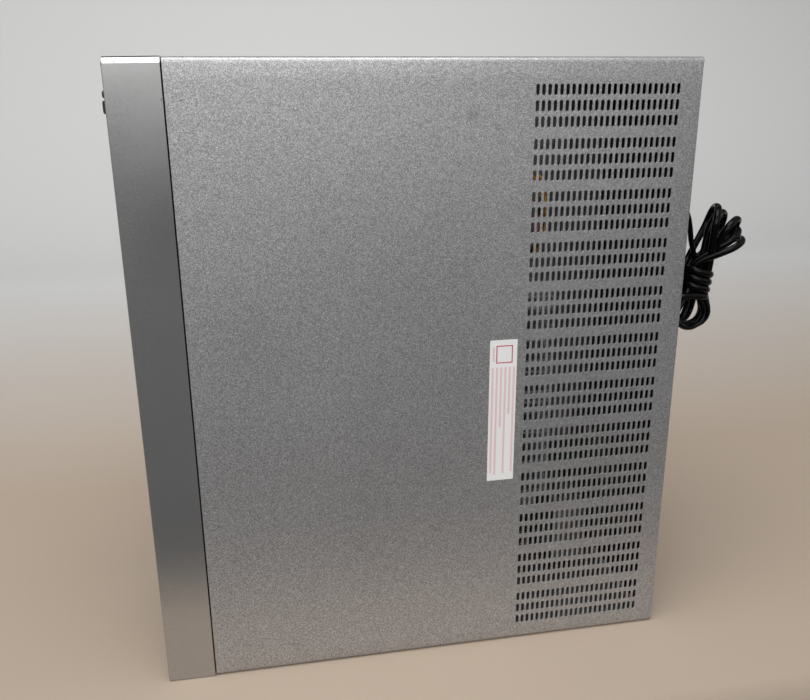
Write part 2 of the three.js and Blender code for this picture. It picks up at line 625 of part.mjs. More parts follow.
const coreX = FRONT_X + TRANSFORMER_SETBACK;
const coreZ = HIGH_Z - TRANSFORMER_FROM_TOP - CORE_WIDTH;
const coreY = FLOOR_Y - 20 - CORE_HEIGHT;
const limb = CORE_DEPTH / 6;

// The laminated core: a block with two windows on either side of the middle limb.
function transformerCore() {
  const backY = coreY + CORE_HEIGHT;
  const block = box(coreX, coreX + CORE_DEPTH, coreY, backY, coreZ, coreZ + CORE_WIDTH);
  const windows = [1, 4].map((step) => {
    const x = coreX + step * limb;
    return box(x, x + limb, coreY - 1, backY + 1, coreZ + limb, coreZ + CORE_WIDTH - limb);
  });
  return cut(block, ...windows);
}
add("transformer_core", transformerCore(), lamination);

// The winding fills the windows and stands past the core on both sides.
function transformerWinding() {
  const outer = box(
    coreX + limb + GAP, coreX + 5 * limb - GAP, coreY - BULGE, coreY + CORE_HEIGHT + BULGE,
    coreZ + limb + GAP, coreZ + CORE_WIDTH - limb - GAP,
  );
  const middle = box(
    coreX + 2 * limb - GAP, coreX + 4 * limb + GAP, coreY - GAP, coreY + CORE_HEIGHT + GAP,
    coreZ, coreZ + CORE_WIDTH,
  );
  return cut(outer, middle);
}
add("transformer_winding", transformerWinding(), tape);

// Two feet under the core's ends, joined by a plate on the chassis floor.
function transformerBracket() {
  const bottom = FLOOR_Y - GAP;
  const plate = box(coreX, coreX + CORE_DEPTH, bottom - 2, bottom, coreZ, coreZ + CORE_WIDTH);
  const legs = [coreX, coreX + CORE_DEPTH - 8].map((x) =>
    box(x, x + 8, coreY + CORE_HEIGHT + GAP, bottom - 1, coreZ, coreZ + CORE_WIDTH));
  return join(plate, ...legs);
}
add("transformer_bracket", transformerBracket(), zincSteel);

// A board on four short posts, with its component side towards the cover.
function floorBoard(x0, x1, z0, z1, inset = 8) {
  const plate = box(x0, x1, BOARD_Y, BOARD_Y + BOARD, z0, z1);
  const posts = [x0 + inset, x1 - inset].flatMap((x) =>
    [z0 + inset, z1 - inset].map((z) => bar("y", BOARD_Y + BOARD / 2, FLOOR_Y - GAP, 3, x, 0, z, 12)));
  return join(plate, ...posts);
}

// The supply board lies beside the transformer, with a fuse and a relay standing on it.
const supplyX = FRONT_X + SUPPLY_SETBACK;
const supplyZ = coreZ - SUPPLY_TO_CORE - SUPPLY_WIDTH;
const componentY = BOARD_Y - GAP; // where components stand on a board
const supplyBoard = floorBoard(supplyX, supplyX + SUPPLY_LENGTH, supplyZ, supplyZ + SUPPLY_WIDTH);
add("power_supply_board", supplyBoard, tanBoard);
const fuseRadius = 3;
const fuse = bar("x", supplyX + 10, supplyX + 32, fuseRadius, 0, componentY - fuseRadius, supplyZ + 26, 16);
add("mains_fuse", faceOut(fuse), displayGlass);
const relayX = supplyX + SUPPLY_LENGTH - 8;
const relay = box(relayX - 28, relayX, componentY - 16, componentY, supplyZ + 8, supplyZ + 20);
add("speaker_relay", relay, blackPlastic);

// ---- Amplifier ----

const sinkX = REAR_X - HEATSINK_FROM_REAR - HEATSINK_BASE - FIN_LENGTH;
const sinkZ = LOW_Z + HEATSINK_RISE;
const sinkEndZ = sinkZ + HEATSINK_LENGTH;
const ampX = sinkX - 96;
const ampRearX = sinkX + 44;

// The heat sink: an extruded comb whose fins point to the rear, open along Y.
function heatsink() {
  const outline = [[sinkX, sinkZ], [sinkX, sinkEndZ], [sinkX + HEATSINK_BASE, sinkEndZ]];
  const fins = Math.floor((HEATSINK_LENGTH - FIN_THICKNESS) / FIN_PITCH) + 1;
  for (let i = fins - 1; i >= 0; i--) {
    const low = sinkZ + i * FIN_PITCH;
    const tip = sinkX + HEATSINK_BASE + FIN_LENGTH;
    outline.push([sinkX + HEATSINK_BASE, low + FIN_THICKNESS], [tip, low + FIN_THICKNESS], [tip, low]);
    if (i > 0) outline.push([sinkX + HEATSINK_BASE, low]);
  }
  return faceOut(prism(outline, "y", COVER_Y + HEATSINK_COVER_GAP, BOARD_Y - GAP));
}
add("heatsink", heatsink(), aluminium);
add("amplifier_board", floorBoard(ampX, ampRearX, sinkZ - 14, sinkEndZ + 10), tanBoard);

// Two flat power modules, one for each channel, held to the front of the heat sink, with a row of legs.
function powerModule() {
  const body = box(-7, 0, 0, 30, -27, 27);
  const legs = [];
  for (let z = -22; z <= 22; z += 4) legs.push(box(-4, -3, 29, 42, z - 0.6, z + 0.6));
  return join(body, ...legs);
}
for (let i = 0; i < 2; i++) {
  const z = sinkZ + HEATSINK_LENGTH * (0.26 + 0.48 * i);
  add(`power_module_${i + 1}`, powerModule(), blackPlastic, sinkX - GAP, BOARD_Y - GAP - 42, z);
}

// A filter capacitor standing on the amplifier board, with a rolled rim round its top.
function capacitor() {
  const r = CAPACITOR_RADIUS;
  return faceOut(turned([
    [0, -GAP], [r, -GAP], [r, 1.5 - CAPACITOR_HEIGHT], [r - 1, -CAPACITOR_HEIGHT],
    [r - 2.5, -CAPACITOR_HEIGHT], [r - 3, 0.8 - CAPACITOR_HEIGHT], [0, 0.8 - CAPACITOR_HEIGHT],
  ], "y", 20));
}
[45, 90].forEach((rise, i) =>
  add(`filter_capacitor_${i + 1}`, capacitor(), sleeve, ampX + 32, BOARD_Y, sinkZ + rise));

// ---- Rear panel and its terminals ----

const panelOutX = PANEL_X + SHEET;
const postY = COVER_Y + POST_DROP;
const postZ = LOW_Z + POST_RISE;
const jackY = BASE_Y - JACK_LIFT;
const jackZ = LOW_Z + JACK_RISE;
const aerialY = jackY - AERIAL_LIFT;
const aerialZ = LOW_Z + AERIAL_RISE;
const outletY = COVER_Y + OUTLET_DROP;
const outletZ = LOW_Z + OUTLET_RISE;
const postPlaces = [0, 1].flatMap((row) =>
  [0, 1].map((column) => [postY + row * POST_PITCH, postZ + column * POST_PITCH]));
const jackPlaces = [];
for (let row = 0; row < JACK_ROWS; row++)
  for (let column = 0; column < JACK_COLUMNS; column++)
    jackPlaces.push([jackY + row * JACK_PITCH, jackZ + column * JACK_PITCH]);

// The rear panel with a hole for each terminal and for the lead.
function rearPanel() {
  const plate = box(PANEL_X, panelOutX, COVER_Y + SHEET + GAP, BASE_Y, FLANGE_LOW_Z, FLANGE_HIGH_Z);
  const through = (radius, y, z, sides) => bar("x", PANEL_X - 1, panelOutX + 1, radius, 0, y, z, sides);
  const posts = postPlaces.map(([y, z]) => through(TERMINAL_HOLE, y, z, 12));
  const jacks = jackPlaces.map(([y, z]) => through(TERMINAL_HOLE, y, z, 12));
  const outlet = through(RELIEF_NECK + GAP, outletY, outletZ, 16);
  const aerial = through(TERMINAL_HOLE, aerialY, aerialZ, 12);
  return cut(plate, ...posts, ...jacks, outlet, aerial);
}
add("rear_panel", rearPanel(), blackMetal);

// A block inside the panel with a row of necks out through it.
function terminalBlock(places, neckRadius, neckEnd, boreRadius, thickness, border) {
  const ys = places.map(([y]) => y);
  const zs = places.map(([, z]) => z);
  const back = PANEL_X - GAP;
  const block = box(
    back - thickness, back, Math.min(...ys) - border, Math.max(...ys) + border,
    Math.min(...zs) - border, Math.max(...zs) + border,
  );
  const necks = places.map(([y, z]) => bar("x", back - 1, neckEnd, neckRadius, 0, y, z, 12));
  const whole = join(block, ...necks);
  if (boreRadius === 0) return whole;
  return cut(whole, ...places.map(([y, z]) => bar("x", back, neckEnd + 1, boreRadius, 0, y, z, 8)));
}
add("phono_jack_block", terminalBlock(jackPlaces, 4.2, REAR_X + 8, 1.7, 9, 8), brass);
const speakerBlock = terminalBlock(postPlaces, POST_NECK, REAR_X + POST_PROUD - 6, 0, 12, 9);
add("speaker_terminal_block", speakerBlock, blackPlastic);
add("aerial_socket", terminalBlock([[aerialY, aerialZ]], 4.6, REAR_X + 9, 1.3, 6, 8), aluminium);

// A binding post cap: a fluted screw cap that turns on its post.
function postCap() {
  const start = GAP;
  const end = POST_PROUD + REAR_X - panelOutX;
  const fluted = new THREE.Shape();
  const flutes = 12;
  for (let i = 0; i < flutes * 2; i++) {
    const angle = (i * Math.PI) / flutes;
    const radius = i % 2 ? POST_RADIUS : POST_RADIUS - 0.8;
    fluted[i ? "lineTo" : "moveTo"](radius * Math.cos(angle), radius * Math.sin(angle));
  }
  fluted.closePath();
  const grip = prism(fluted, "x", start + 5, end);
  const collar = bar("x", start, start + 6, POST_RADIUS - 1.6, 0, 0, 0, 20);
  const bore = bar("x", start - 1, end - 5, POST_NECK + GAP, 0, 0, 0, 16);
  return cut(join(grip, collar), bore);
}
postPlaces.forEach(([y, z], i) => add(`post_cap_${i + 1}`, postCap(), blackPlastic, panelOutX, y, z));

// The input board lies along the rear panel, with the tuner's metal can on it.
const inputBoardX = PANEL_X - 76;
add("input_board", floorBoard(inputBoardX, PANEL_X - 14, LOW_Z + 14, sinkZ - 20), greenBoard);
add("tuner_module", box(
  REAR_X - 58, REAR_X - 32, BOARD_Y - GAP - 62, BOARD_Y - GAP, LOW_Z + 18, LOW_Z + 74,
), zincSteel);

// ---- Cables inside ----

// A flat ribbon cable from the front board to the input board, a thin strip bent in one plane.
function ribbonCable() {
  const thickness = 1.2;
  const startX = BOARD_X + BOARD + GAP;
  const endX = inputBoardX + 12;
  const runY = BASE_Y - 48;
  const outline = [
    [startX, runY], [endX, runY], [endX, BOARD_Y - GAP],
    [endX - thickness, BOARD_Y - GAP], [endX - thickness, runY + thickness], [startX, runY + thickness],
  ];
  return faceOut(prism(outline, "z", LOW_Z + 58, LOW_Z + 92));
}
add("ribbon_cable", ribbonCable(), ribbonGrey);

// A tube of round section along a smooth curve through the points.
function tube(points, radius, sides, steps) {
  const curve = new THREE.CatmullRomCurve3(points.map((p) => new THREE.Vector3(...p)), false, "centripetal");
  const section = new THREE.Shape();
  for (let i = 0; i < sides; i++) {
    const angle = (2 * Math.PI * i) / sides;
    section[i ? "lineTo" : "moveTo"](radius * Math.cos(angle), radius * Math.sin(angle));
  }
  section.closePath();
  return faceOut(new THREE.ExtrudeGeometry(section, { steps, extrudePath: curve, bevelEnabled: false }));
}

// The wire bundle from the transformer, past the vents, to the amplifier board.
const bundleZ = coreZ + CORE_WIDTH / 2;
add("wire_harness", tube([
  [coreX + CORE_DEPTH + 8, coreY + 6, bundleZ],
  [coreX + CORE_DEPTH + 40, COVER_Y + 34, bundleZ - 4],
  [sinkX - 4, COVER_Y + 24, bundleZ - 12],
  [sinkX + 14, COVER_Y + 26, (bundleZ + sinkEndZ) / 2 + 12],
  [sinkX + 10, COVER_Y + 50, sinkEndZ + 20],
  [sinkX - 6, BOARD_Y - 30, sinkEndZ + 14],
  [sinkX - 10, BOARD_Y - 5, sinkEndZ + 4],
], 4.5, 8, 26), yellowWire);

// ---- Mains lead ----

const leadRadius = LEAD_DIAMETER / 2;

// The strain relief: a grooved body in the panel hole and a tapered tail outside.
function strainRelief() {
  const bore = leadRadius + GAP;
  const flange = 8;
  const tail = RELIEF_LENGTH + SHEET;
  return faceOut(turned([
    [bore, -7], [flange, -7], [flange, -GAP], [RELIEF_NECK, -GAP], [RELIEF_NECK, SHEET + GAP],
    [flange, SHEET + GAP], [flange, SHEET + 4], [5.6, SHEET + 6], [bore + 1, tail], [bore, tail], [bore, -7],
  ], "x", 16));
}
add("strain_relief", strainRelief(), blackPlastic, PANEL_X, outletY, outletZ);

// The hank hangs below the outlet: a thick fan of loops on top, and a wrapped neck with a round foot.
const hankX = REAR_X + HANK_OUT;
const hankZ = outletZ - HANK_DROP;
const hankPlace = ([x, z]) => [hankX + x, hankZ + z];
const shoulder = { left: -11.6, right: -0.6, high: 29.8, low: 18.1 }; // where the lead goes in
function hank() {
  const bend = (shape, ...points) => shape.bezierCurveTo(...points.map(hankPlace).flat());
  const fan = new THREE.Shape();
  fan.moveTo(...hankPlace([shoulder.left, shoulder.low]));
  fan.lineTo(...hankPlace([shoulder.left, shoulder.high]));
  fan.lineTo(...hankPlace([shoulder.right, shoulder.high]));
  bend(fan, [3.2, 47.1], [6.2, 66.1], [16.2, 65.1]);
  bend(fan, [28.2, 64.1], [40.2, 49.1], [41.7, 36.1]);
  bend(fan, [42.2, 27.1], [30.2, 22.1], [17.1, shoulder.low]);
  const footRadius = 13.2;
  const foot = { x: -3.1, z: -21.5 };
  const neck = new THREE.Shape();
  neck.moveTo(...hankPlace([foot.x + footRadius, foot.z]));
  neck.lineTo(...hankPlace([14.5, 7.1]));
  neck.lineTo(...hankPlace([17.1, shoulder.low + 1]));
  neck.lineTo(...hankPlace([-10.1, shoulder.low + 1]));
  neck.lineTo(...hankPlace([-14.3, -12.9]));
  neck.lineTo(...hankPlace([foot.x - footRadius, foot.z]));
  neck.absarc(...hankPlace([foot.x, foot.z]), footRadius, Math.PI, 2 * Math.PI, false);
  return join(
    prism(fan, "y", outletY + FAN_DEPTHS[0], outletY + FAN_DEPTHS[1], 6),
    prism(neck, "y", outletY - NECK_DEPTH / 2, outletY + NECK_DEPTH / 2, 8),
  );
}
add("mains_hank", hank(), blackLead);

// The lead from inside its relief, over and down into the hank's shoulder.
const reliefEndX = PANEL_X + SHEET + RELIEF_LENGTH;
const shoulderX = hankX + (shoulder.left + shoulder.right) / 2;
const shoulderZ = hankZ + shoulder.high;
const alongOutlet = (x, drop) => [x, outletY, outletZ - drop];
add("mains_lead", tube([
  alongOutlet(PANEL_X + 2, 0),
  alongOutlet(PANEL_X + 12, 0),
  alongOutlet(reliefEndX, 0),
  alongOutlet(reliefEndX + 3, 0.3),
  alongOutlet(shoulderX - 7, 4),
  alongOutlet(shoulderX - 2.6, 12),
  alongOutlet(shoulderX - 0.6, 22),
  [shoulderX, outletY, shoulderZ + 4],
  [shoulderX, outletY, shoulderZ + GAP],
], leadRadius, 8, 26), blackLead);

// The plug: a flat two-pin body beside the hank, its pins towards the low end.
function plug() {
  const half = 17.5;
  const collar = 6;
  const outline = new THREE.Shape();
  outline.moveTo(-half, 0);
  outline.lineTo(half, 0);
  outline.lineTo(half, 12);
  outline.bezierCurveTo(half - 2, 26, collar + 1, 26, collar, PLUG_LENGTH);
  outline.lineTo(-collar, PLUG_LENGTH);
  outline.bezierCurveTo(-collar - 1, 26, 2 - half, 26, -half, 12);
  outline.closePath();
  const body = prism(outline, "y", -6.5, 6.5, 5);
  const pins = [-9.3, 9.3].map((x) => bar("z", -PIN_LENGTH, 1, 2.2, x, 0, 0, 12));
  return join(body, ...pins);
}
const plugX = REAR_X + PLUG_OUT;
const plugY = outletY + PLUG_BEHIND;
const plugEndZ = hankZ + 1; // where the lead goes in
add("mains_plug", plug(), blackPlastic, plugX, plugY, plugEndZ - PLUG_LENGTH);

// The last stretch of lead, out of the hank's side, up and over behind it, down into the plug.
const sideX = hankX + shoulder.left;
add("plug_lead", tube([
  [sideX - 3 * GAP, outletY + 13, hankZ + 23],
  [sideX - 4, outletY + 13.2, hankZ + 23.2],
  [(sideX + plugX) / 2 - 1, plugY - 10, hankZ + 26.5],
  [plugX + 1, plugY - 3, hankZ + 23],
  [plugX, plugY, plugEndZ + 11],
  [plugX, plugY, plugEndZ + 5],
  [plugX, plugY, plugEndZ + GAP],
], leadRadius, 8, 16), blackLead);

export default receiver;
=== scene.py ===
"""Looks for a hi-fi receiver that stands on its right-hand end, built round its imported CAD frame.

+Z runs along the unit's width, the front panel faces -X, the rear panel +X, the vented face of the
cover -Y and the feet +Y. Lengths are metres, except where a section says millimetres.
"""
import json
import math
import random

import bmesh
import bpy
from mathutils import Matrix, Vector


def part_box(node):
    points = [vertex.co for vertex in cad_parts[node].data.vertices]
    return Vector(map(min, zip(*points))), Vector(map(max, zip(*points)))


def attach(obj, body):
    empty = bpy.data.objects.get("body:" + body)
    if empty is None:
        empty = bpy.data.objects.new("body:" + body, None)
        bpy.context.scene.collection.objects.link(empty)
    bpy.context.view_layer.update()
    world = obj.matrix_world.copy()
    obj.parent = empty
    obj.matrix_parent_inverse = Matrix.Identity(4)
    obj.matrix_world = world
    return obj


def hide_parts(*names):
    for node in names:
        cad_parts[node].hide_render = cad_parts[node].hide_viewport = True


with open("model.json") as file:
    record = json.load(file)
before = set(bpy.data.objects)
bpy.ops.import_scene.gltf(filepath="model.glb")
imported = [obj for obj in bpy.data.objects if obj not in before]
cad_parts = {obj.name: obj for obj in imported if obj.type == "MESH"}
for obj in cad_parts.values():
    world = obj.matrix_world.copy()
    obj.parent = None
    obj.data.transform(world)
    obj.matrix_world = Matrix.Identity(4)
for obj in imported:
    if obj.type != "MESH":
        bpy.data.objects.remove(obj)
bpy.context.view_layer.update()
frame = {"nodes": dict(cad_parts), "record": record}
NODES = frame["nodes"]
MM = 0.001

# ---- Camera, light and floor ----

IMAGE_WIDTH = 810  # pixels
FOCAL = 816  # pixels
SENSOR = 36  # millimetres
CAMERA_PLACE = Vector((-0.1139, -0.6001, 0.4091))
CAMERA_PITCH, CAMERA_YAW, CAMERA_ROLL = math.radians(-17.4), math.radians(10.5), math.radians(-0.43)
# The front floor colour is painted shade: a near-black sheet in front of the object that stands for the dark
# room, so that the object's lower faces reflect darkness.
FLOOR_NEAR, FLOOR_FRONT_SHADE, FLOOR_WALL = (0.41, 0.33, 0.26), (0.05, 0.05, 0.052), (0.66, 0.66, 0.655)
# Where the floor's colour changes, as (from y, to y, colour it turns into), starting from the dark painted
# shade in front.
FLOOR_BANDS = ((-0.25, -0.16, FLOOR_NEAR), (0.25, 1.3, FLOOR_WALL))
COVE_START, COVE_RADIUS, COVE_STEPS = 1.5, 1.0, 16  # where the floor turns up behind, and its bend
STAGE_SIDE = 12.0  # half the floor's width
ROOM_EDGE, ROOM_BRIGHT, ROOM_DARK = 0.25, 0.62, 0.12  # the world's light, front to back


def new_object(name, data):
    """An object in the scene."""
    made = bpy.data.objects.new(name, data)
    bpy.context.scene.collection.objects.link(made)
    return made


def fade_along_y(tree, coordinate, start, end, first=0.0, last=1.0):
    """A socket that goes from the first value to the last between two Y values of a coordinate."""
    parts = tree.nodes.new("ShaderNodeSeparateXYZ")
    fade = tree.nodes.new("ShaderNodeMapRange")
    tree.links.new(tree.nodes.new("ShaderNodeTexCoord").outputs[coordinate], parts.inputs[0])
    tree.links.new(parts.outputs["Y"], fade.inputs["Value"])
    for name, value in (("From Min", start), ("From Max", end), ("To Min", first), ("To Max", last)):
        fade.inputs[name].default_value = value
    return fade.outputs["Result"]


def make_camera():
    data = bpy.data.cameras.new("camera")
    data.sensor_width = SENSOR
    data.lens = FOCAL / IMAGE_WIDTH * SENSOR
    data.clip_start, data.clip_end = 0.01, 50
    camera = new_object("camera", data)
    turn = Matrix.Rotation(-CAMERA_YAW, 4, "Z") @ Matrix.Rotation(math.pi / 2 + CAMERA_PITCH, 4, "X")
    turn = turn @ Matrix.Rotation(CAMERA_ROLL, 4, "Z")
    camera.matrix_world = Matrix.Translation(CAMERA_PLACE) @ turn
    bpy.context.scene.camera = camera


def area_light(name, place, target, size, power, colour):
    data = bpy.data.lights.new(name, "AREA")
    data.shape = "RECTANGLE"
    data.size, data.size_y = size
    data.energy = power
    data.color = colour
    light = new_object(name, data)
    light.location = place
    light.rotation_euler = (Vector(target) - Vector(place)).to_track_quat("-Z", "Y").to_euler()


def make_world():
    """Soft light from the front and above, with a darker room behind and over the backdrop."""
    world = bpy.data.worlds.new("studio")
    bpy.context.scene.world = world
    world.use_nodes = True
    tree = world.node_tree
    background = tree.nodes["Background"]
    strength = fade_along_y(tree, "Generated", -ROOM_EDGE, ROOM_EDGE, ROOM_BRIGHT, ROOM_DARK)
    tree.links.new(strength, background.inputs["Strength"])
    background.inputs["Color"].default_value = (0.99, 0.995, 1.0, 1)


def make_floor():
    """A floor that bends up into a pale wall: pale and warm near the object, and dark in front of it as
    painted shade, a dark sheet for the dark room that the object's lower faces reflect.
    """
    profile = [(-STAGE_SIDE, 0), (COVE_START, 0)]
    for step in range(1, COVE_STEPS + 1):
        turn = math.radians(90 * step / COVE_STEPS)
        profile.append((COVE_START + COVE_RADIUS * math.sin(turn), COVE_RADIUS * (1 - math.cos(turn))))
    points = [(x, y, z) for y, z in profile for x in (-STAGE_SIDE, STAGE_SIDE)]
    faces = [(2 * i, 2 * i + 1, 2 * i + 3, 2 * i + 2) for i in range(len(profile) - 1)]
    mesh = bpy.data.meshes.new("floor")
    mesh.from_pydata(points, [], faces)
    for face in mesh.polygons:
        face.use_smooth = True
    floor = new_object("floor", mesh)
    material = bpy.data.materials.new("floor")
    material.use_nodes = True
    tree = material.node_tree
    shader = tree.nodes["Principled BSDF"]
    shader.inputs["Roughness"].default_value = 0.7
    colour = None
    for start, end, after in FLOOR_BANDS:
        mix = tree.nodes.new("ShaderNodeMix")
        mix.data_type = "RGBA"
        tree.links.new(fade_along_y(tree, "Object", start, end), mix.inputs[0])
        # The first band starts from the painted shade of the dark front floor.
        mix.inputs[6].default_value = (*FLOOR_FRONT_SHADE, 1)
        if colour:
            tree.links.new(colour, mix.inputs[6])
        mix.inputs[7].default_value = (*after, 1)
        colour = mix.outputs[2]
    tree.links.new(colour, shader.inputs["Base Color"])
    mesh.materials.append(material)


def make_stage():
    bpy.context.scene.view_settings.view_transform = "Standard"
    make_world()
    area_light("ceiling_panel", (-0.3, -0.6, 1.9), (-0.3, -0.6, 0), (1.7, 1.2), 29, (1.0, 0.99, 0.97))
    area_light("front_panel_light", (-0.5, -2.4, 1.3), (0, 0, 0.45), (2.4, 1.3), 24, (1.0, 1.0, 1.0))
    area_light("wall_light", (0.2, 0.9, 1.8), (0.1, 2.3, 0.4), (2.6, 0.5), 11, (1.0, 0.995, 0.99))
    make_floor()


make_camera()
make_stage()

# ---- Node materials ----


class Finish:
    """A procedural material: a Principled shader, and short calls that add and link its nodes."""

    def __init__(self, colour, roughness, metallic=0.0, **sockets):
        self.material = bpy.data.materials.new("finish")
        self.material.use_nodes = True
        self.tree = self.material.node_tree
        self.shader = self.tree.nodes["Principled BSDF"]
        self.set("Base Color", (*colour, 1))
        self.set("Roughness", roughness)
        self.set("Metallic", metallic)
        for socket, value in sockets.items():
            self.set(socket.replace("_", " "), value)
        self.place = self.tree.nodes.new("ShaderNodeTexCoord").outputs["Object"]

    def set(self, socket, value):
        self.shader.inputs[socket].default_value = value

    def link(self, source, target):
        self.tree.links.new(source, target)

    def node(self, kind, inputs=None, **settings):
        node = self.tree.nodes.new("ShaderNode" + kind)
        for key, value in settings.items():
            setattr(node, key, value)
        for key, value in (inputs or {}).items():
            if isinstance(value, bpy.types.NodeSocket):
                self.link(value, node.inputs[key])
            else:
                node.inputs[key].default_value = value
        return node

    def noise(self, scale, detail, roughness=0.5):
        inputs = {"Vector": self.place, "Scale": scale, "Detail": detail, "Roughness": roughness}
        return self.node("TexNoise", inputs).outputs["Fac"]

    def math(self, operation, a, b=0.0):
        return self.node("Math", {0: a, 1: b}, operation=operation).outputs[0]

    def spread(self, value, low, high, to_low=0.0, to_high=1.0):
        inputs = {"Value": value, 1: low, 2: high, 3: to_low, 4: to_high}
        return self.node("MapRange", inputs, clamp=True).outputs["Result"]

    def mix(self, factor, a, b):
        node = self.node("Mix", data_type="RGBA")
        for index, value in ((0, factor), (6, a), (7, b)):
            if isinstance(value, bpy.types.NodeSocket):
                self.link(value, node.inputs[index])
            else:
                node.inputs[index].default_value = value if index == 0 else (*value, 1)
        return node.outputs[2]

    def blot(self, centre, size, turn, strength):
        """A soft elliptical patch in the X-Z plane, broken up by noise: 0 outside, its strength inside."""
        parts = self.node("SeparateXYZ", {0: self.place})
        dx = self.math("SUBTRACT", parts.outputs["X"], centre[0])
        dz = self.math("SUBTRACT", parts.outputs["Z"], centre[1])
        cosine, sine = math.cos(math.radians(turn)), math.sin(math.radians(turn))
        along = self.math("ADD", self.math("MULTIPLY", dx, cosine / size[0]),
                          self.math("MULTIPLY", dz, sine / size[0]))
        across = self.math("SUBTRACT", self.math("MULTIPLY", dz, cosine / size[1]),
                           self.math("MULTIPLY", dx, sine / size[1]))
        reach = self.math("ADD", self.math("POWER", along, 2), self.math("POWER", across, 2))
        patch = self.spread(reach, 0.35, 1.1, strength, 0.0)
        return self.math("MULTIPLY", patch, self.spread(self.noise(600, 3, 0.7), 0.36, 0.56, 0.25, 1.0))

    def colour(self, socket):
        self.link(socket, self.shader.inputs["Base Color"])

    def rough(self, socket):
        self.link(socket, self.shader.inputs["Roughness"])

    def bump(self, height, distance, strength):
        inputs = {"Height": height, "Distance": distance, "Strength": strength}
        self.link(self.node("Bump", inputs).outputs["Normal"], self.shader.inputs["Normal"])


# Marks: (x, z) of the middle, (half length, half width), angle from +X in degrees, strength.
PAINT_MARKS = (
    ((0.0276, 0.397), (0.0052, 0.0045), 0, 0.34), ((0.0545, 0.420), (0.0105, 0.00035), -17, 0.35),
    ((-0.151, 0.4067), (0.0011, 0.0007), 30, 0.8), ((-0.128, 0.330), (0.0006, 0.0006), 0, 0.55),
    ((0.1779, 0.0806), (0.0008, 0.0006), 0, 0.7), ((-0.120, 0.0265), (0.0145, 0.0005), -14, 0.3),
    ((-0.105, 0.0200), (0.0095, 0.0007), -8, 0.3), ((-0.133, 0.0330), (0.0040, 0.0004), 55, 0.3),
    ((0.030, 0.245), (0.0200, 0.00025), 24, 0.10), ((0.118, 0.022), (0.0160, 0.00025), 3, 0.12),
)
FASCIA_MARKS = (
    ((-0.1868, 0.4281), (0.0007, 0.0006), 0, 0.9), ((-0.1622, 0.4072), (0.0006, 0.0010), 0, 0.6),
    ((-0.1938, 0.4275), (0.0007, 0.0016), 0, 0.9),
)


def varied(colour, roughness, metallic=0.0, grain=600, vary=0.06, depth=0.00003, **sockets):
    """A plain finish with slight colour and roughness variation and a fine surface grain."""
    finish = Finish(colour, roughness, metallic, **sockets)
    cloud = finish.noise(22, 3)
    fine = finish.noise(grain, 2)
    dark = tuple(c * (1 - vary) for c in colour)
    light = tuple(min(1, c * (1 + vary)) for c in colour)
    finish.colour(finish.mix(cloud, dark, light))
    finish.rough(finish.spread(cloud, 0.3, 0.7, roughness - 0.04, roughness + 0.05))
    finish.bump(fine, depth, 0.6)
    return finish


def cover_paint():
    """Metallic paint with a fine sparkle, slight clouds, and the wear of a used cover."""
    finish = Finish((0.40, 0.395, 0.41), 0.40, 0.7)
    grain = finish.noise(1400, 1, 0.6)
    coarse = finish.noise(600, 2, 0.5)
    cloud = finish.noise(9, 3)
    both = finish.math("ADD", finish.math("MULTIPLY", grain, 0.88), finish.math("MULTIPLY", coarse, 0.12))
    base = finish.mix(finish.spread(both, 0.34, 0.66), (0.23, 0.228, 0.23), (0.51, 0.506, 0.51))
    spark = finish.spread(grain, 0.68, 0.74, 0.0, 0.6)
    base = finish.mix(spark, base, (0.84, 0.84, 0.84))
    for centre, size, turn, strength in PAINT_MARKS:
        base = finish.mix(finish.blot(centre, size, turn, strength), base, (0.10, 0.10, 0.105))
    finish.colour(base)
    finish.rough(finish.spread(cloud, 0.3, 0.7, 0.38, 0.45))
    finish.bump(grain, 0.0001, 0.3)
    return finish


def fascia_paint():
    """Smooth silver paint with a very fine flake, and a few specks on its side."""
    finish = Finish((0.44, 0.438, 0.435), 0.22, 0.92)
    flake = finish.noise(1900, 1, 0.6)
    base = finish.mix(finish.spread(flake, 0.3, 0.7), (0.38, 0.378, 0.375), (0.50, 0.497, 0.494))
    for centre, size, turn, strength in FASCIA_MARKS:
        base = finish.mix(finish.blot(centre, size, turn, strength), base, (0.05, 0.05, 0.05))
    finish.colour(base)
    finish.rough(finish.spread(finish.noise(14, 3), 0.3, 0.7, 0.20, 0.25))
    finish.bump(flake, 0.00002, 0.3)
    return finish


def wave_stripes(colour, line, roughness, pitch, axis, metallic=0.0):
    """A finish ruled with fine parallel lines, such as laminations or the ribs of a ribbon."""
    finish = Finish(colour, roughness, metallic)
    parts = finish.node("SeparateXYZ", {0: finish.place})
    across = finish.math("MULTIPLY", parts.outputs[axis], 2 * math.pi / pitch)
    wave = finish.math("SINE", across)
    uneven = finish.noise(140, 3)
    base = finish.mix(finish.spread(wave, -0.9, 0.2), line, colour)
    finish.colour(finish.mix(finish.spread(uneven, 0.2, 0.8, 0, 0.25), base, line))
    finish.bump(wave, pitch * 0.12, 0.8)
    finish.rough(finish.spread(uneven, 0.3, 0.7, roughness - 0.05, roughness + 0.06))
    return finish


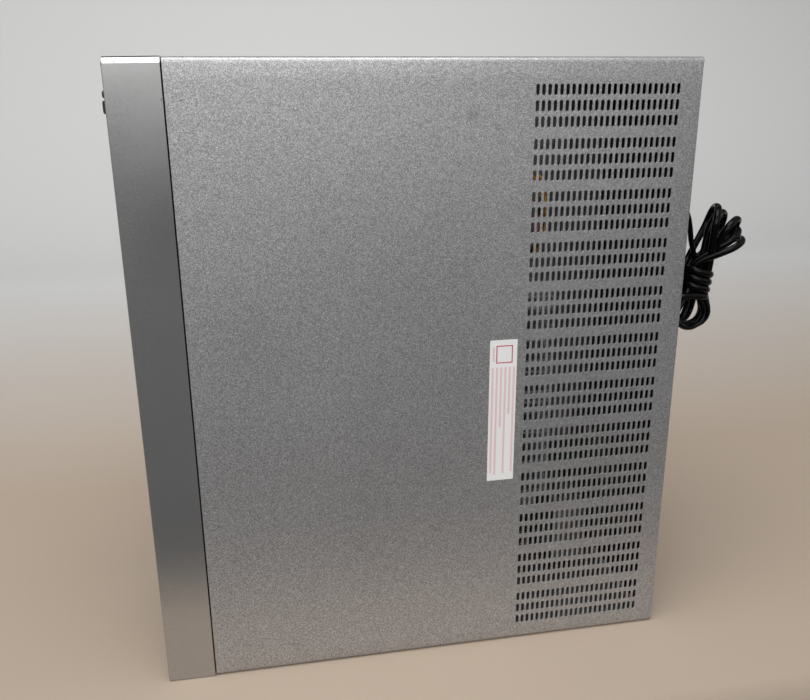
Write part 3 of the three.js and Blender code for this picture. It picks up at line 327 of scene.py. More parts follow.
FINISHES = {
    "cover_paint": cover_paint(),
    "fascia_silver": fascia_paint(),
    "control_silver": varied((0.58, 0.58, 0.59), 0.25, 0.9, grain=900, depth=0.00001),
    "button_black": varied((0.02, 0.02, 0.022), 0.3),
    "window_acrylic": varied((0.006, 0.006, 0.009), 0.05, depth=0.0, Coat_Weight=0.5),
    "display_glass": varied((0.05, 0.07, 0.07), 0.1),
    "zinc_steel": varied((0.50, 0.52, 0.55), 0.35, 0.95, grain=300, vary=0.12),
    "panel_black": varied((0.022, 0.022, 0.025), 0.5, 0.3, grain=900, depth=0.00008),
    "board_green": varied((0.02, 0.10, 0.035), 0.35, grain=260, vary=0.3),
    "board_tan": varied((0.36, 0.22, 0.10), 0.5, grain=260, vary=0.15),
    "aluminium": varied((0.72, 0.73, 0.74), 0.32, 0.95, grain=500),
    "core_steel": wave_stripes((0.16, 0.145, 0.13), (0.05, 0.045, 0.04), 0.5, 0.0011, "Y", 0.6),
    "winding_tape": wave_stripes((0.55, 0.42, 0.12), (0.40, 0.27, 0.07), 0.4, 0.009, "Y"),
    "black_plastic": varied((0.018, 0.018, 0.019), 0.45, depth=0.00005, vary=0.15),
    "cap_black": varied((0.015, 0.015, 0.016), 0.35, vary=0.15),
    "capacitor_sleeve": varied((0.012, 0.02, 0.06), 0.25),
    "jack_metal": varied((0.75, 0.72, 0.62), 0.25, 0.95),
    "ribbon_grey": wave_stripes((0.42, 0.42, 0.43), (0.2, 0.2, 0.21), 0.5, 0.00127, "Z"),
    "wire_insulation": varied((0.62, 0.36, 0.04), 0.4),
    "wire_brown": varied((0.16, 0.06, 0.025), 0.4),
    "wire_pink": varied((0.60, 0.24, 0.24), 0.4),
    "lead_black": varied((0.002, 0.002, 0.0022), 0.15, grain=400, depth=0.00001, Specular_IOR_Level=0.14),
    "label_paper": varied((0.80, 0.795, 0.785), 0.4, vary=0.02, depth=0.000004),
    "label_print": varied((0.50, 0.09, 0.14), 0.4, vary=0.1, depth=0.0),
    "label_tint": varied((0.74, 0.55, 0.56), 0.4, vary=0.04, depth=0.0),
    "insulator_red": varied((0.35, 0.012, 0.012), 0.35),
    "insulator_white": varied((0.72, 0.71, 0.68), 0.35),
}
for name, finish in FINISHES.items():
    finish.material.name = name


def paint(obj, slot):
    obj.data.materials.clear()
    obj.data.materials.append(FINISHES[slot].material)


for part in frame["record"]["subparts"]:
    paint(NODES[part["node"]], part["material_slot"])

# ---- Mesh helpers ----


def mesh_of(name, work):
    """A mesh made from a bmesh, which it frees."""
    mesh = bpy.data.meshes.new(name)
    work.to_mesh(mesh)
    work.free()
    return mesh


def smooth(mesh, sharp):
    """Shades a mesh smooth, with edges over the angle left sharp."""
    for face in mesh.polygons:
        face.use_smooth = True
    mesh.set_sharp_from_angle(angle=math.radians(sharp))


def place_piece(name, mesh, slot, body="root"):
    piece = new_object(name, mesh)
    mesh.materials.append(FINISHES[slot].material)
    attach(piece, body)
    return piece


def settle(piece, sharp=35):
    """Applies a piece's modifiers and shades it smooth, with edges over the angle left sharp."""
    graph = bpy.context.evaluated_depsgraph_get()
    made = bpy.data.meshes.new_from_object(piece.evaluated_get(graph))
    made.name = piece.name
    piece.modifiers.clear()
    piece.data = made
    smooth(made, sharp)


# ---- The mains lead: one flat twin lead, wound into a hank below its outlet ----

LEAD_WIDTH, LEAD_THICKNESS = 5.4, 3.7  # millimetres, as are all lengths in this section
OUTLET = Vector((181.15, -19.5, 330.9))
NECK_LOW, NECK_HIGH = Vector((224.8, -19.5, 250)), Vector((229.0, -19.5, 281))
NECK_AXIS = (NECK_HIGH - NECK_LOW).normalized()
NECK_SIDE, DEPTH = Vector((NECK_AXIS.z, 0, -NECK_AXIS.x)), Vector((0, 1, 0))
FOLD_RADIUS = 14.9
# The free stretches, as listed points: from the outlet (along +X and +Z), and from the hank
# to the plug.
LEAD_FROM_OUTLET = ((2, 0), (12, 0), (21.2, 0), (24, -0.3), (31, -4), (35.5, -12), (38.2, -22),
                    (39.6, -32), (43, -42))
LEAD_TO_PLUG = ((213.4, -6.5, 287.6), (209.5, -4.6, 289), (205.5, 1, 289), (203, 6.8, 284.5),
                (202.4, 9.6, 277), (202.4, 10, 270.5), (202.4, 10, 263))
# The last loop below the neck, from the last run round to the front of the wraps.
LOOP_TO_WRAPS = ((224.7, -15.3, 243), (221.5, -16.5, 235.5), (213.2, -19.5, 231.8), (204.8, -23, 235.6),
                 (200.8, -26, 245), (203.5, -29.5, 254), (211.5, -31.8, 259))
# Where each run passes through the neck: (along NECK_SIDE, along DEPTH), in the lead's order.
DOWN_RUNS = ((0, 0), (-6.5, 6.6), (-6.5, 2.2), (-6.5, -2.2), (-6.5, -6.6), (0, 4.4))
UP_RUNS = ((6.5, -6.6), (6.5, -2.2), (6.5, 2.2), (6.5, 6.6), (0, -4.4))
NECK_SHARES = (0.34, 0.66, 1.0)  # where a run's points lie between the neck's foot and its top
# Each upper fold: reach from the neck, angle up from +X, lean of its plane, side its up run takes,
# shift in y.
UPPER_FOLDS = ((46.5, 76, -19, -1, 0), (44.5, 50, -40, -1, -4), (41.5, 39, -8, 1, 3), (38.5, 29, -10, 1, -2),
               (44.5, 61, -48, -1, 6))
UPPER_FOLD_STEP = 19  # degrees between the points of an upper fold
# Each lower fold: centre's x and y from the neck's foot, radius, turn of its plane about the vertical.
LOWER_FOLDS = ((0, -4.5, 13.8, -17), (-2, 4.5, 13.9, -24), (-2, 0, 13.7, 4), (-1.8, 9, 13.7, 24),
               (-3.6, -9, 13.9, 6))
LOWER_FOLD_DROP, LOWER_FOLD_START, LOWER_FOLD_STEP = 6.2, 184, 17.2  # below the foot; degrees from +X
WRAP_START, WRAP_END, WRAP_STEPS = 1.5 * math.pi, 8.5 * math.pi, 49  # from the front, to behind
WRAP_LOW, WRAP_SPAN = 0.22, 0.68  # the stretch of the neck that the wraps cover, as shares of it
WRAP_RADII = (12.4, 12.6)
WRAP_TILT = 3.0  # the wraps are this much lower on the right than in the middle


def through_neck(spot, upwards):
    """Three points of a run straight through the neck, each with the direction of the lead's width."""
    offset = NECK_SIDE * spot[0] + DEPTH * spot[1]
    run = [(NECK_LOW.lerp(NECK_HIGH, share) + offset, NECK_SIDE) for share in NECK_SHARES]
    return run if upwards else run[::-1]


def upper_fold(reach, angle, lean, side, shift):
    """A narrow loop above the neck, out along its angle and back, its width mostly in depth."""
    angle, lean = math.radians(angle), math.radians(lean)
    out = Vector((math.cos(angle), 0, math.sin(angle)))
    across = DEPTH * math.cos(lean) + Vector((-math.sin(angle), 0, math.cos(angle))) * math.sin(lean)
    middle = NECK_HIGH + out * (reach - FOLD_RADIUS) + DEPTH * shift
    arc = []
    for step in range(-5, 6):
        turn = math.radians(UPPER_FOLD_STEP * step)
        round_fold = out * math.cos(turn) - across * side * math.sin(turn)
        arc.append((middle + round_fold * FOLD_RADIUS, out.cross(across)))
    return arc


def lower_fold(dx, dy, radius, turn):
    """A round loop below the neck, down on its left and up on its right."""
    turn = math.radians(turn)
    across = Vector((math.cos(turn), math.sin(turn), 0))
    middle = Vector((NECK_LOW.x + dx, NECK_LOW.y + dy, NECK_LOW.z - LOWER_FOLD_DROP))
    up = Vector((0, 0, 1))
    return [(middle + (across * math.cos(a) + up * math.sin(a)) * radius, across.cross(up))
            for a in (math.radians(LOWER_FOLD_START + LOWER_FOLD_STEP * step) for step in range(11))]


def wraps():
    """Turns round the neck from its foot to its top, starting in front and ending behind."""
    points = []
    for i in range(WRAP_STEPS + 1):
        turn = WRAP_START + (WRAP_END - WRAP_START) * i / WRAP_STEPS
        along = NECK_LOW.lerp(NECK_HIGH, WRAP_LOW + WRAP_SPAN * i / WRAP_STEPS)
        along -= NECK_AXIS * WRAP_TILT * math.cos(turn)
        around = NECK_SIDE * WRAP_RADII[0] * math.cos(turn) + DEPTH * WRAP_RADII[1] * math.sin(turn)
        points.append((along + around, NECK_AXIS))
    return points


def lead_points():
    route = [(OUTLET + Vector((dx, 0, dz)), DEPTH) for dx, dz in LEAD_FROM_OUTLET]
    for i, down in enumerate(DOWN_RUNS):
        route += through_neck(down, upwards=False)
        if i < len(UP_RUNS):
            route += lower_fold(*LOWER_FOLDS[i])
            route += through_neck(UP_RUNS[i], upwards=True)
            route += upper_fold(*UPPER_FOLDS[i])
    route += [(Vector(point), DEPTH) for point in LOOP_TO_WRAPS]
    route += wraps()
    route += [(Vector(point), Vector((1, 0, 0))) for point in LEAD_TO_PLUG]
    return route


def smooth_line(route, step=2.5, rounds=5):
    """Evenly spaced (place, width direction) pairs along the route, eased so that no corner is left."""
    def resample(line):
        lengths = [0.0]
        for (a, _), (b, _) in zip(line, line[1:]):
            lengths.append(lengths[-1] + (b - a).length)
        count = round(lengths[-1] / step)
        out, k = [], 0
        for i in range(count + 1):
            at = lengths[-1] * i / count
            while k < len(line) - 2 and lengths[k + 1] < at:
                k += 1
            share = (at - lengths[k]) / (lengths[k + 1] - lengths[k])
            out.append(tuple(line[k][n].lerp(line[k + 1][n], share) for n in (0, 1)))
        return out
    line = [route[0]]
    for place, wide in route[1:]:
        line.append((place, wide if wide.dot(line[-1][1]) >= 0 else -wide))
    line = resample(line)
    for _ in range(rounds):
        inner = [tuple((a[n] + b[n] * 2 + c[n]) / 4 for n in (0, 1))
                 for a, b, c in zip(line, line[1:], line[2:])]
        line = [line[0], *inner, line[-1]]
    return resample(line)


def sweep(name, line, width, thickness, sides=14):
    """A closed tube of oval section along a line of (place, width direction) pairs in millimetres."""
    work = bmesh.new()
    last = len(line) - 1
    rings = []
    for i, (point, wide) in enumerate(line):
        tangent = (line[min(i + 1, last)][0] - line[max(i - 1, 0)][0]).normalized()
        wide = (wide - tangent * wide.dot(tangent)).normalized()
        thin = tangent.cross(wide)
        ring = []
        for k in range(sides):
            a = 2 * math.pi * k / sides
            offset = wide * math.cos(a) * width / 2 + thin * math.sin(a) * thickness / 2
            ring.append(work.verts.new((point + offset) * MM))
        rings.append(ring)
    for ring, after in zip(rings, rings[1:]):
        for k in range(sides):
            n = (k + 1) % sides
            work.faces.new((ring[k], ring[n], after[n], after[k]))
    work.faces.new(rings[0][::-1])
    work.faces.new(rings[-1])
    bmesh.ops.recalc_face_normals(work, faces=work.faces)
    mesh = mesh_of(name, work)
    for face in mesh.polygons:
        face.use_smooth = len(face.vertices) == 4
    return mesh


def make_lead(relief):
    """The whole lead, from its relief to its plug, in place of the plain solids of its stretches."""
    line = smooth_line(lead_points())
    tube = sweep("mains_lead_wound", line, LEAD_WIDTH, LEAD_THICKNESS)
    lead = place_piece("mains_lead_wound", tube, "lead_black")
    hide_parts("mains_lead", "mains_hank", "plug_lead")


# ---- The cover, with every slot ----

SHEET = 1.0 * MM
BEND = 3.4 * MM
SLOT_PITCH, SLOT_COLUMNS, SLOT_REAR = 4.04 * MM, 25, 16.8 * MM
SLOT_HALF_WIDTH, SLOT_HALF_LENGTH = 1.15 * MM, 3.5 * MM
ROW_PITCH, ROWS, GROUP_PITCH, GROUPS, SLOT_TOP = 10 * MM, 3, 34 * MM, 12, 20 * MM
LIP_RADIUS, LIP_DEPTH = 1.3 * MM, 9 * MM
SLOT_CELL_HALF = 1.6 * MM  # half the height of a slot cell's middle third
BEND_STEPS, LIP_STEPS = 6, 4
CELL_STEPS, CELL_START, CELL_WIDTH = 12, 0.5, 15.0  # the grid round a screw, in millimetres
REAR_CELL_COLUMNS, REAR_CELL_REACH = 5, 7.4 * MM  # the slot columns that a rear screw's cell spans
DIMPLE = ((6.9, 0.0), (6.5, 0.12), (6.1, 1.0), (5.8, 1.15), (2.3, 1.15))  # radius and depth in millimetres


def cover_stations(low, high):
    """Places along the cover's U, as (y, z, outward normal y, z), and where its slot rows start."""
    edge, face = high.y, low.y
    wall = [edge] + [edge - (CELL_START + CELL_WIDTH * i / CELL_STEPS) * MM for i in range(CELL_STEPS + 1)]
    arc = [math.radians(90 * i / BEND_STEPS) for i in range(BEND_STEPS + 1)]
    stations = [(y, low.z, 0, -1) for y in wall]
    stations += [(face + BEND - BEND * math.sin(a), low.z + BEND - BEND * math.cos(a),
                  -math.sin(a), -math.cos(a)) for a in arc]
    rows = []
    for group in reversed(range(GROUPS)):
        for row in reversed(range(ROWS)):
            middle = high.z - SLOT_TOP - group * GROUP_PITCH - row * ROW_PITCH
            levels = [middle - ROW_PITCH / 2, middle - SLOT_CELL_HALF, middle + SLOT_CELL_HALF]
            rows.append(len(stations))
            stations += [(face, z, -1, 0) for z in levels]
            if row == 0:
                stations.append((face, middle + ROW_PITCH / 2, -1, 0))
    stations += [(face + BEND - BEND * math.cos(a), high.z - BEND + BEND * math.sin(a),
                  -math.cos(a), math.sin(a)) for a in arc]
    stations += [(y, high.z, 0, 1) for y in reversed(wall)]
    return stations, rows


def cover_lines(low, high, screws):
    """The x places of the grid's lines, and where its slot columns start."""
    lines = [low.x]
    step = CELL_WIDTH / CELL_STEPS
    lines += [screws[0] + (i - CELL_STEPS / 2) * step * MM for i in range(CELL_STEPS + 1)]
    first = high.x - SLOT_REAR - (SLOT_COLUMNS - 1) * SLOT_PITCH
    columns = []
    for column in range(SLOT_COLUMNS):
        left = first + (column - 0.5) * SLOT_PITCH
        columns.append(len(lines))
        lines += [left, left + SLOT_PITCH / 3, left + SLOT_PITCH * 2 / 3]
    lines += [first + (SLOT_COLUMNS - 0.5) * SLOT_PITCH, high.x - LIP_RADIUS]
    return lines, columns


def perimeter(i0, i1, j0, j1):
    """The grid corners round a cell, starting at its low corner."""
    return ([(i, j0) for i in range(i0, i1)] + [(i1, j) for j in range(j0, j1)]
            + [(i, j1) for i in range(i1, i0, -1)] + [(i0, j) for j in range(j1, j0, -1)])


def slot_outline():
    """The slot's outline, matched to the twelve corners of its cell."""
    angles = (216, 252, 288, 324, 360, 0, 36, 72, 108, 144, 180, 180)
    ends = (-1, -1, -1, -1, -1, 1, 1, 1, 1, 1, 1, -1)
    straight = SLOT_HALF_LENGTH - SLOT_HALF_WIDTH
    return [(SLOT_HALF_WIDTH * math.cos(math.radians(a)),
             SLOT_HALF_WIDTH * math.sin(math.radians(a)) + e * straight) for a, e in zip(angles, ends)]


def cover_mesh():
    low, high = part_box("top_cover")
    screw_boxes = [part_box("low_screw_1"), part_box("low_screw_2")]
    screws = sorted((a.x + b.x) / 2 for a, b in screw_boxes)
    screw_y = (screw_boxes[0][0].y + screw_boxes[0][1].y) / 2
    stations, rows = cover_stations(low, high)
    lines, columns = cover_lines(low, high, screws)
    work = bmesh.new()
    grid = [[work.verts.new((x, s[0], s[1])) for s in stations] for x in lines]
    taken = set()

    def ring_cell(i0, i1, j0, j1, rings):
        """Fills a cell of the grid with rings of points, each a list of (x, y, z), and leaves a hole."""
        taken.update((i, j) for i in range(i0, i1) for j in range(j0, j1))
        outer = [grid[i][j] for i, j in perimeter(i0, i1, j0, j1)]
        for ring in rings:
            inner = [work.verts.new(p) for p in ring]
            for k in range(len(outer)):
                n = (k + 1) % len(outer)
                work.faces.new((outer[k], outer[n], inner[n], inner[k]))
            outer = inner

    outline = slot_outline()
    for i in columns:
        middle_x = lines[i] + SLOT_PITCH / 2
        for j in rows:
            middle_z = stations[j][1] + ROW_PITCH / 2
            ring_cell(i, i + 3, j, j + 3, [[(middle_x + u, low.y, middle_z + v) for u, v in outline]])
    first_rear = max(k for k in range(SLOT_COLUMNS) if lines[columns[k]] < screws[1] - REAR_CELL_REACH)
    spans = ((1, 1 + CELL_STEPS), (columns[first_rear], columns[first_rear + REAR_CELL_COLUMNS]))
    top = len(stations) - 2
    for (i0, i1), x in zip(spans, screws):
        for j0, j1, z, side in ((1, 1 + CELL_STEPS, low.z, 1), (top - CELL_STEPS, top, high.z, -1)):
            angles = [math.atan2(stations[j][0] - screw_y, lines[i] - x)
                      for i, j in perimeter(i0, i1, j0, j1)]
            rings = [[(x + r * MM * math.cos(a), screw_y + r * MM * math.sin(a), z + side * d * MM)
                      for a in angles] for r, d in DIMPLE]
            ring_cell(i0, i1, j0, j1, rings)
    for i in range(len(lines) - 1):
        for j in range(len(stations) - 1):
            if (i, j) not in taken:
                work.faces.new((grid[i][j], grid[i + 1][j], grid[i + 1][j + 1], grid[i][j + 1]))
    add_rear_lip(work, grid[-1], stations, low, high)
    bmesh.ops.recalc_face_normals(work, faces=work.faces)
    return mesh_of("cover_shell", work)


def add_rear_lip(work, last, stations, low, high):
    """Folds the vented face's rear edge inwards, and runs the ends straight to the rear."""
    for j, (station, after) in enumerate(zip(stations, stations[1:])):
        flat = station[2] == -1 and after[2] == -1
        pair = []
        for vert, (y, z, _, _) in ((last[j], station), (last[j + 1], after)):
            path = [vert]
            if flat:
                for step in range(1, LIP_STEPS + 1):
                    a = math.radians(90 * step / LIP_STEPS)
                    x = high.x - LIP_RADIUS + LIP_RADIUS * math.sin(a)
                    path.append(work.verts.new((x, y + LIP_RADIUS - LIP_RADIUS * math.cos(a), z)))
                path.append(work.verts.new((high.x, low.y + LIP_DEPTH, z)))
            else:
                path.append(work.verts.new((high.x, y, z)))
            pair.append(path)
        for k in range(len(pair[0]) - 1):
            work.faces.new((pair[0][k], pair[0][k + 1], pair[1][k + 1], pair[1][k]))
    bmesh.ops.remove_doubles(work, verts=work.verts, dist=1e-7)


def make_cover():
    cover = place_piece("cover_shell", cover_mesh(), "cover_paint")
    solid = cover.modifiers.new("thickness", "SOLIDIFY")
    solid.thickness = SHEET
    solid.offset = -1
    bevel = cover.modifiers.new("edges", "BEVEL")
    bevel.width = 0.12 * MM
    bevel.segments = 1
    bevel.limit_method = "ANGLE"
    bevel.angle_limit = math.radians(50)
    settle(cover)
    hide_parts("top_cover")


make_cover()

# ---- Small shapes for the detail pieces, in millimetres ----


def turned_mesh(name, profile, axis, sides=48, ribs=0, rib_depth=0.0, rib_span=(0, 0)):
    """A turned closed shape. The profile holds (radius, distance along the axis) pairs in millimetres.

    Between the profile's indices in rib_span the radius is fluted by ribs, each rib_depth deep.
    """
    frame_of = {"x": ((0, 1, 0), (0, 0, 1), (1, 0, 0)), "y": ((0, 0, 1), (1, 0, 0), (0, 1, 0)),
                "z": ((1, 0, 0), (0, 1, 0), (0, 0, 1))}[axis]
    first, second, along = (Vector(v) for v in frame_of)
    work = bmesh.new()
    rings = []
    for index, (radius, height) in enumerate(profile):
        if radius == 0:
            rings.append([work.verts.new(along * height * MM)])
            continue
        ring = []
        for k in range(sides):
            a = 2 * math.pi * k / sides
            r = radius
            if ribs and rib_span[0] <= index <= rib_span[1]:
                r -= rib_depth * (0.5 - 0.5 * math.cos(ribs * a))
            spoke = first * r * math.cos(a) + second * r * math.sin(a)
            ring.append(work.verts.new((spoke + along * height) * MM))
        rings.append(ring)
    for ring, after in zip(rings, rings[1:]):
        for k in range(sides):
            n = (k + 1) % sides
            corners = [ring[k % len(ring)], ring[n % len(ring)], after[n % len(after)], after[k % len(after)]]
            corners = list(dict.fromkeys(corners))
            if len(corners) > 2:
                work.faces.new(corners)
    bmesh.ops.remove_doubles(work, verts=work.verts, dist=1e-7)
    bmesh.ops.recalc_face_normals(work, faces=work.faces)
    return mesh_of(name, work)


def add_box(work, low, high):
    """Adds a box, given by its low and high corners, to a bmesh."""
    low, high = Vector(low), Vector(high)
    size = high - low
    move = Matrix.Translation((low + high) / 2 * MM)
    scale = Matrix.Diagonal((size.x * MM, size.y * MM, size.z * MM, 1))
    bmesh.ops.create_cube(work, size=1, matrix=move @ scale)


def boxes_piece(name, boxes, slot, bevel=0.3, body="root", finish=None):
    """Boxes given as (low, high) corners, with rounded edges, as one piece.

    The finish, where it is given, is what the piece looks like in place of its slot's own.
    """
    work = bmesh.new()
    for low, high in boxes:
        add_box(work, low, high)
    piece = place_piece(name, mesh_of(name, work), slot, body)
    if bevel:
        soften(piece, bevel)
        settle(piece, 40)
    if finish:
        piece.data.materials[0] = FINISHES[finish].material
    return piece


def soften(obj, width):
    """A rounded bevel on an object's sharp edges."""
    bevel = obj.modifiers.new("edges", "BEVEL")
    bevel.width = width * MM
    bevel.segments = 2
    bevel.limit_method = "ANGLE"
    bevel.angle_limit = math.radians(40)


def turned_piece(name, profile, axis, place, slot, body="root", sharp=35, **options):
    mesh = turned_mesh(name, profile, axis, **options)
    mesh.transform(Matrix.Translation(Vector(place)))
    smooth(mesh, sharp)
    return place_piece(name, mesh, slot, body)


# ---- The label on the cover ----

LABEL_LOW, LABEL_HIGH = Vector((42.6, 139.0)), Vector((62.4, 246.0))  # x and z
LABEL_THICKNESS, LABEL_CORNER, CORNER_STEPS = 0.12, 0.4, 3
PRINT_BACK, PRINT_FRONT = 0.005, 0.03  # how far the print stands off the sheet
BAR_SHARES = (0.98, 1.0, 0.55, 0.99, 0.43, 0.98)  # length of each plain bar, of the room below the square
BAR_WIDTH, BAR_PITCH, BAR_MARGIN = 1.5, 3.1, 1.6
BARS_ABOVE_END, BARS_BELOW_TOP = 4.5, 20
SMALL_BAR = (2.1, 3.4, 15.5, 5)  # from the sheet's side, from and to, and from its top, from and to
SQUARE, SQUARE_LINE = (4.6, 16.6, 17, 4), 0.8  # the same for the outlined square, and its line's width


def make_label():
    """A plain sheet with pale bars where its lines were, and an empty outlined square."""
    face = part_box("top_cover")[0].y / MM
    front = face - LABEL_THICKNESS
    work = bmesh.new()
    left, right = LABEL_LOW.x + LABEL_CORNER, LABEL_HIGH.x - LABEL_CORNER
    bottom, top = LABEL_LOW.y + LABEL_CORNER, LABEL_HIGH.y - LABEL_CORNER
    outline = []
    for quarter, (x, z) in enumerate(((right, top), (left, top), (left, bottom), (right, bottom))):
        for step in range(CORNER_STEPS + 1):
            a = math.radians(90 * quarter + 90 * step / CORNER_STEPS)
            outline.append((x + LABEL_CORNER * math.cos(a), z + LABEL_CORNER * math.sin(a)))
    back = [work.verts.new((x * MM, (face - 0.01) * MM, z * MM)) for x, z in outline]
    fore = [work.verts.new((x * MM, front * MM, z * MM)) for x, z in outline]
    work.faces.new(back)
    work.faces.new(fore[::-1])
    for k in range(len(outline)):
        n = (k + 1) % len(outline)
        work.faces.new((back[k], back[n], fore[n], fore[k]))
    bmesh.ops.recalc_face_normals(work, faces=work.faces)
    place_piece("label_sheet", mesh_of("label_sheet", work), "label_paper")
    y0, y1 = front - PRINT_FRONT, front - PRINT_BACK
    low_end, high_end = LABEL_LOW.y + BARS_ABOVE_END, LABEL_HIGH.y - BARS_BELOW_TOP
    bars = []
    for column, share in enumerate(BAR_SHARES):
        left = LABEL_LOW.x + BAR_MARGIN + column * BAR_PITCH
        bar_end = high_end - (high_end - low_end) * share
        bars.append(((left, y0, bar_end), (left + BAR_WIDTH, y1, high_end)))
    x0, x1, z0, z1 = SMALL_BAR
    bars.append(((LABEL_LOW.x + x0, y0, LABEL_HIGH.y - z0), (LABEL_LOW.x + x1, y1, LABEL_HIGH.y - z1)))
    boxes_piece("label_bars", bars, "label_print", bevel=0, finish="label_tint")
    x0, x1 = (LABEL_LOW.x + x for x in SQUARE[:2])
    z0, z1 = (LABEL_HIGH.y - z for z in SQUARE[2:])
    line = SQUARE_LINE
    boxes_piece("label_frame", [
        ((x0, y0, z0), (x0 + line, y1, z1)),
        ((x1 - line, y0, z0), (x1, y1, z1)),
        ((x0 + line, y0, z0), (x1 - line, y1, z0 + line)),
        ((x0 + line, y0, z1 - line), (x1 - line, y1, z1)),
    ], "label_print", bevel=0)


make_label()

# ---- Front panel: knobs, buttons and trim ----


def make_knob(name, body):
    """A turned knob with a fluted flank, a dished face and a black pointer line on its front."""
    low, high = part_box(name)
    radius = (high.y - low.y) / 2 / MM
    depth = (high.x - low.x) / MM
    place = Vector((low.x, (low.y + high.y) / 2, (low.z + high.z) / 2))
    dish = [(0, 1.1), (radius * 0.5, 0.95), (radius - 5, 0.7), (radius - 3.6, 0.15), (radius - 3.2, 0)]
    shoulder = [(radius - 1.5, 0), (radius - 1.1, 0.12), (radius - 0.6, 0.8)]
    flank = [(radius - 0.3, 1.6), (radius - 0.25, 4), (radius - 0.15, depth - 3), (radius - 0.05, depth - 2)]
    back = [(radius, depth - 0.4), (radius - 0.4, depth), (3.3, depth), (3.3, 5), (0, 5)]
    profile = dish + shoulder + flank + back
    knob = turned_piece(name + "_turned", profile, "x", place, "control_silver", body, sides=180, ribs=60,
                        rib_depth=0.25, rib_span=(8, 10))
    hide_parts(name)
    x, y, z = place / MM
    line = ((x - 0.05, y - 0.6, z + radius * 0.45), (x + 1.1, y + 0.6, z + radius - 1.5))
    boxes_piece(name + "_pointer", [line], "button_black", 0.15, body)


make_knob("volume_knob", "volume_control")
make_knob("input_knob", "input_control")


def shift_to(node, profile, axis, slot, side=-1, body="root", **options):
    """A turned piece in place of a node, its profile starting at the low or high end of the node's box."""
    low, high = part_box(node)
    place = (low + high) / 2
    index = "xyz".index(axis)
    place[index] = low[index] if side < 0 else high[index]
    if side > 0:
        profile = [(r, -h) for r, h in profile]
    piece = turned_piece(node + "_turned", profile, axis, place, slot, body, **options)
    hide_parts(node)
    return piece


def front_trim():
    """A bezel round the display window, bars for its digits, and a ring round the headphone socket."""
    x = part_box("front_fascia")[0].x / MM
    window_low, window_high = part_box("display_window")
    y0, y1, z0, z1 = (v / MM for v in (window_low.y, window_high.y, window_low.z, window_high.z))
    rim, play = 1.4, 0.3
    front, back = x - 0.5, x + 0.2
    boxes_piece("window_bezel", [
        ((front, y0 - rim - play, z0 - rim - play), (back, y0 - 0.35, z1 + rim + play)),
        ((front, y1 + 0.35, z0 - rim - play), (back, y1 + rim + play, z1 + rim + play)),
        ((front, y0 - 0.4, z0 - rim - play), (back, y1 + 0.4, z0 - 0.35)),
        ((front, y0 - 0.4, z1 + 0.35), (back, y1 + 0.4, z1 + rim + play)),
    ], "control_silver", 0.15)
    low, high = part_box("headphone_jack")
    middle = (low + high) / 2
    ring = [(5.9, 0.2), (5.9, -0.6), (6.2, -0.9), (7.6, -0.9), (8, -0.5), (8, 0.2), (5.9, 0.2)]
    turned_piece("headphone_ring", ring, "x", (x * MM, middle.y, middle.z), "control_silver")
    digit_width, digit_pitch, bar_pitch, bar_height = 12, 13, 6.4, 0.9
    left, right = (y0 + y1) / 2 - digit_width / 2, (y0 + y1) / 2 + digit_width / 2
    levels = [z0 + 24 + digit_pitch * i + dz for i in range(11) for dz in (0, bar_pitch)]
    boxes_piece("window_digits", [((x + 2.7, left, z), (x + 3.1, right, z + bar_height)) for z in levels],
                "display_glass", 0)


# The width of the bevel on the edges of each carried-over solid.
SOFT_EDGES = {
    0.15: ("front_board", "power_supply_board", "amplifier_board", "input_board"),
    0.2: ("front_subframe", "rear_panel", "heatsink"),
    0.25: ("front_fascia", "chassis_base"),
    0.3: ("display_window", "headphone_jack", "volume_encoder", "input_encoder", "phono_jack_block",
          "aerial_socket"),
    0.4: ("transformer_bracket", "transformer_core", "power_module_1", "power_module_2", "band_key",
          "preset_down_key", "preset_up_key", "tone_key", "mode_key", "speaker_key"),
    0.5: ("power_button", "standby_button", "power_switch", "speaker_terminal_block", "display_tube"),
    0.6: ("tuner_module", "speaker_relay"),
    0.9: ("mains_plug",),
    1.6: ("transformer_winding",),
}

front_trim()
for width, nodes in SOFT_EDGES.items():
    for node in nodes:
        soften(NODES[node], width)

# ---- Feet, screws and the strain relief ----


FOOT_CUP = 13.7  # how deep a foot's cup reaches from its standing ring


def make_feet():
    """Round feet, each a cup with a grooved flank and a flat standing ring."""
    for i in range(1, 5):
        low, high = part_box(f"foot_{i}")
        height = (high.y - low.y) / MM
        radius = (high.x - low.x) / 2 / MM
        base = height - FOOT_CUP
        shoulder = [(0, 0), (2, 0), (2, base), (radius - 3, base), (radius - 1.6, base + 0.5),
                    (radius - 0.4, base + 2), (radius, base + 3.4)]
        groove = [(radius, height - 5), (radius - 0.5, height - 4.4), (radius - 0.5, height - 3.6),
                  (radius, height - 3)]
        ring = [(radius - 0.3, height - 1.2), (radius - 1.4, height - 0.3), (radius - 2.6, height),
                (radius - 8.4, height), (radius - 9.4, height - 0.6), (radius - 10, height - 2.6),
                (0, height - 2.8)]
        shift_to(f"foot_{i}", shoulder + groove + ring, "y", "black_plastic", sides=72)


CROSS_LONG, CROSS_SHORT, CROSS_DEPTH = 2.1, 0.45, 1.1  # half lengths of the recess's arms, and its depth


def cross_cutter(low, high, side):
    """A cross that cuts the recess in a screw head at the low end (side -1) or the high end (side 1)."""
    work = bmesh.new()
    face = (low.z if side < 0 else high.z) / MM
    middle = (low + high) / 2 / MM
    z0, z1 = sorted((face + side, face - side * CROSS_DEPTH))
    for half_x, half_y in ((CROSS_LONG, CROSS_SHORT), (CROSS_SHORT, CROSS_LONG)):
        add_box(work, (middle.x - half_x, middle.y - half_y, z0), (middle.x + half_x, middle.y + half_y, z1))
    return new_object("cross", mesh_of("cross", work))


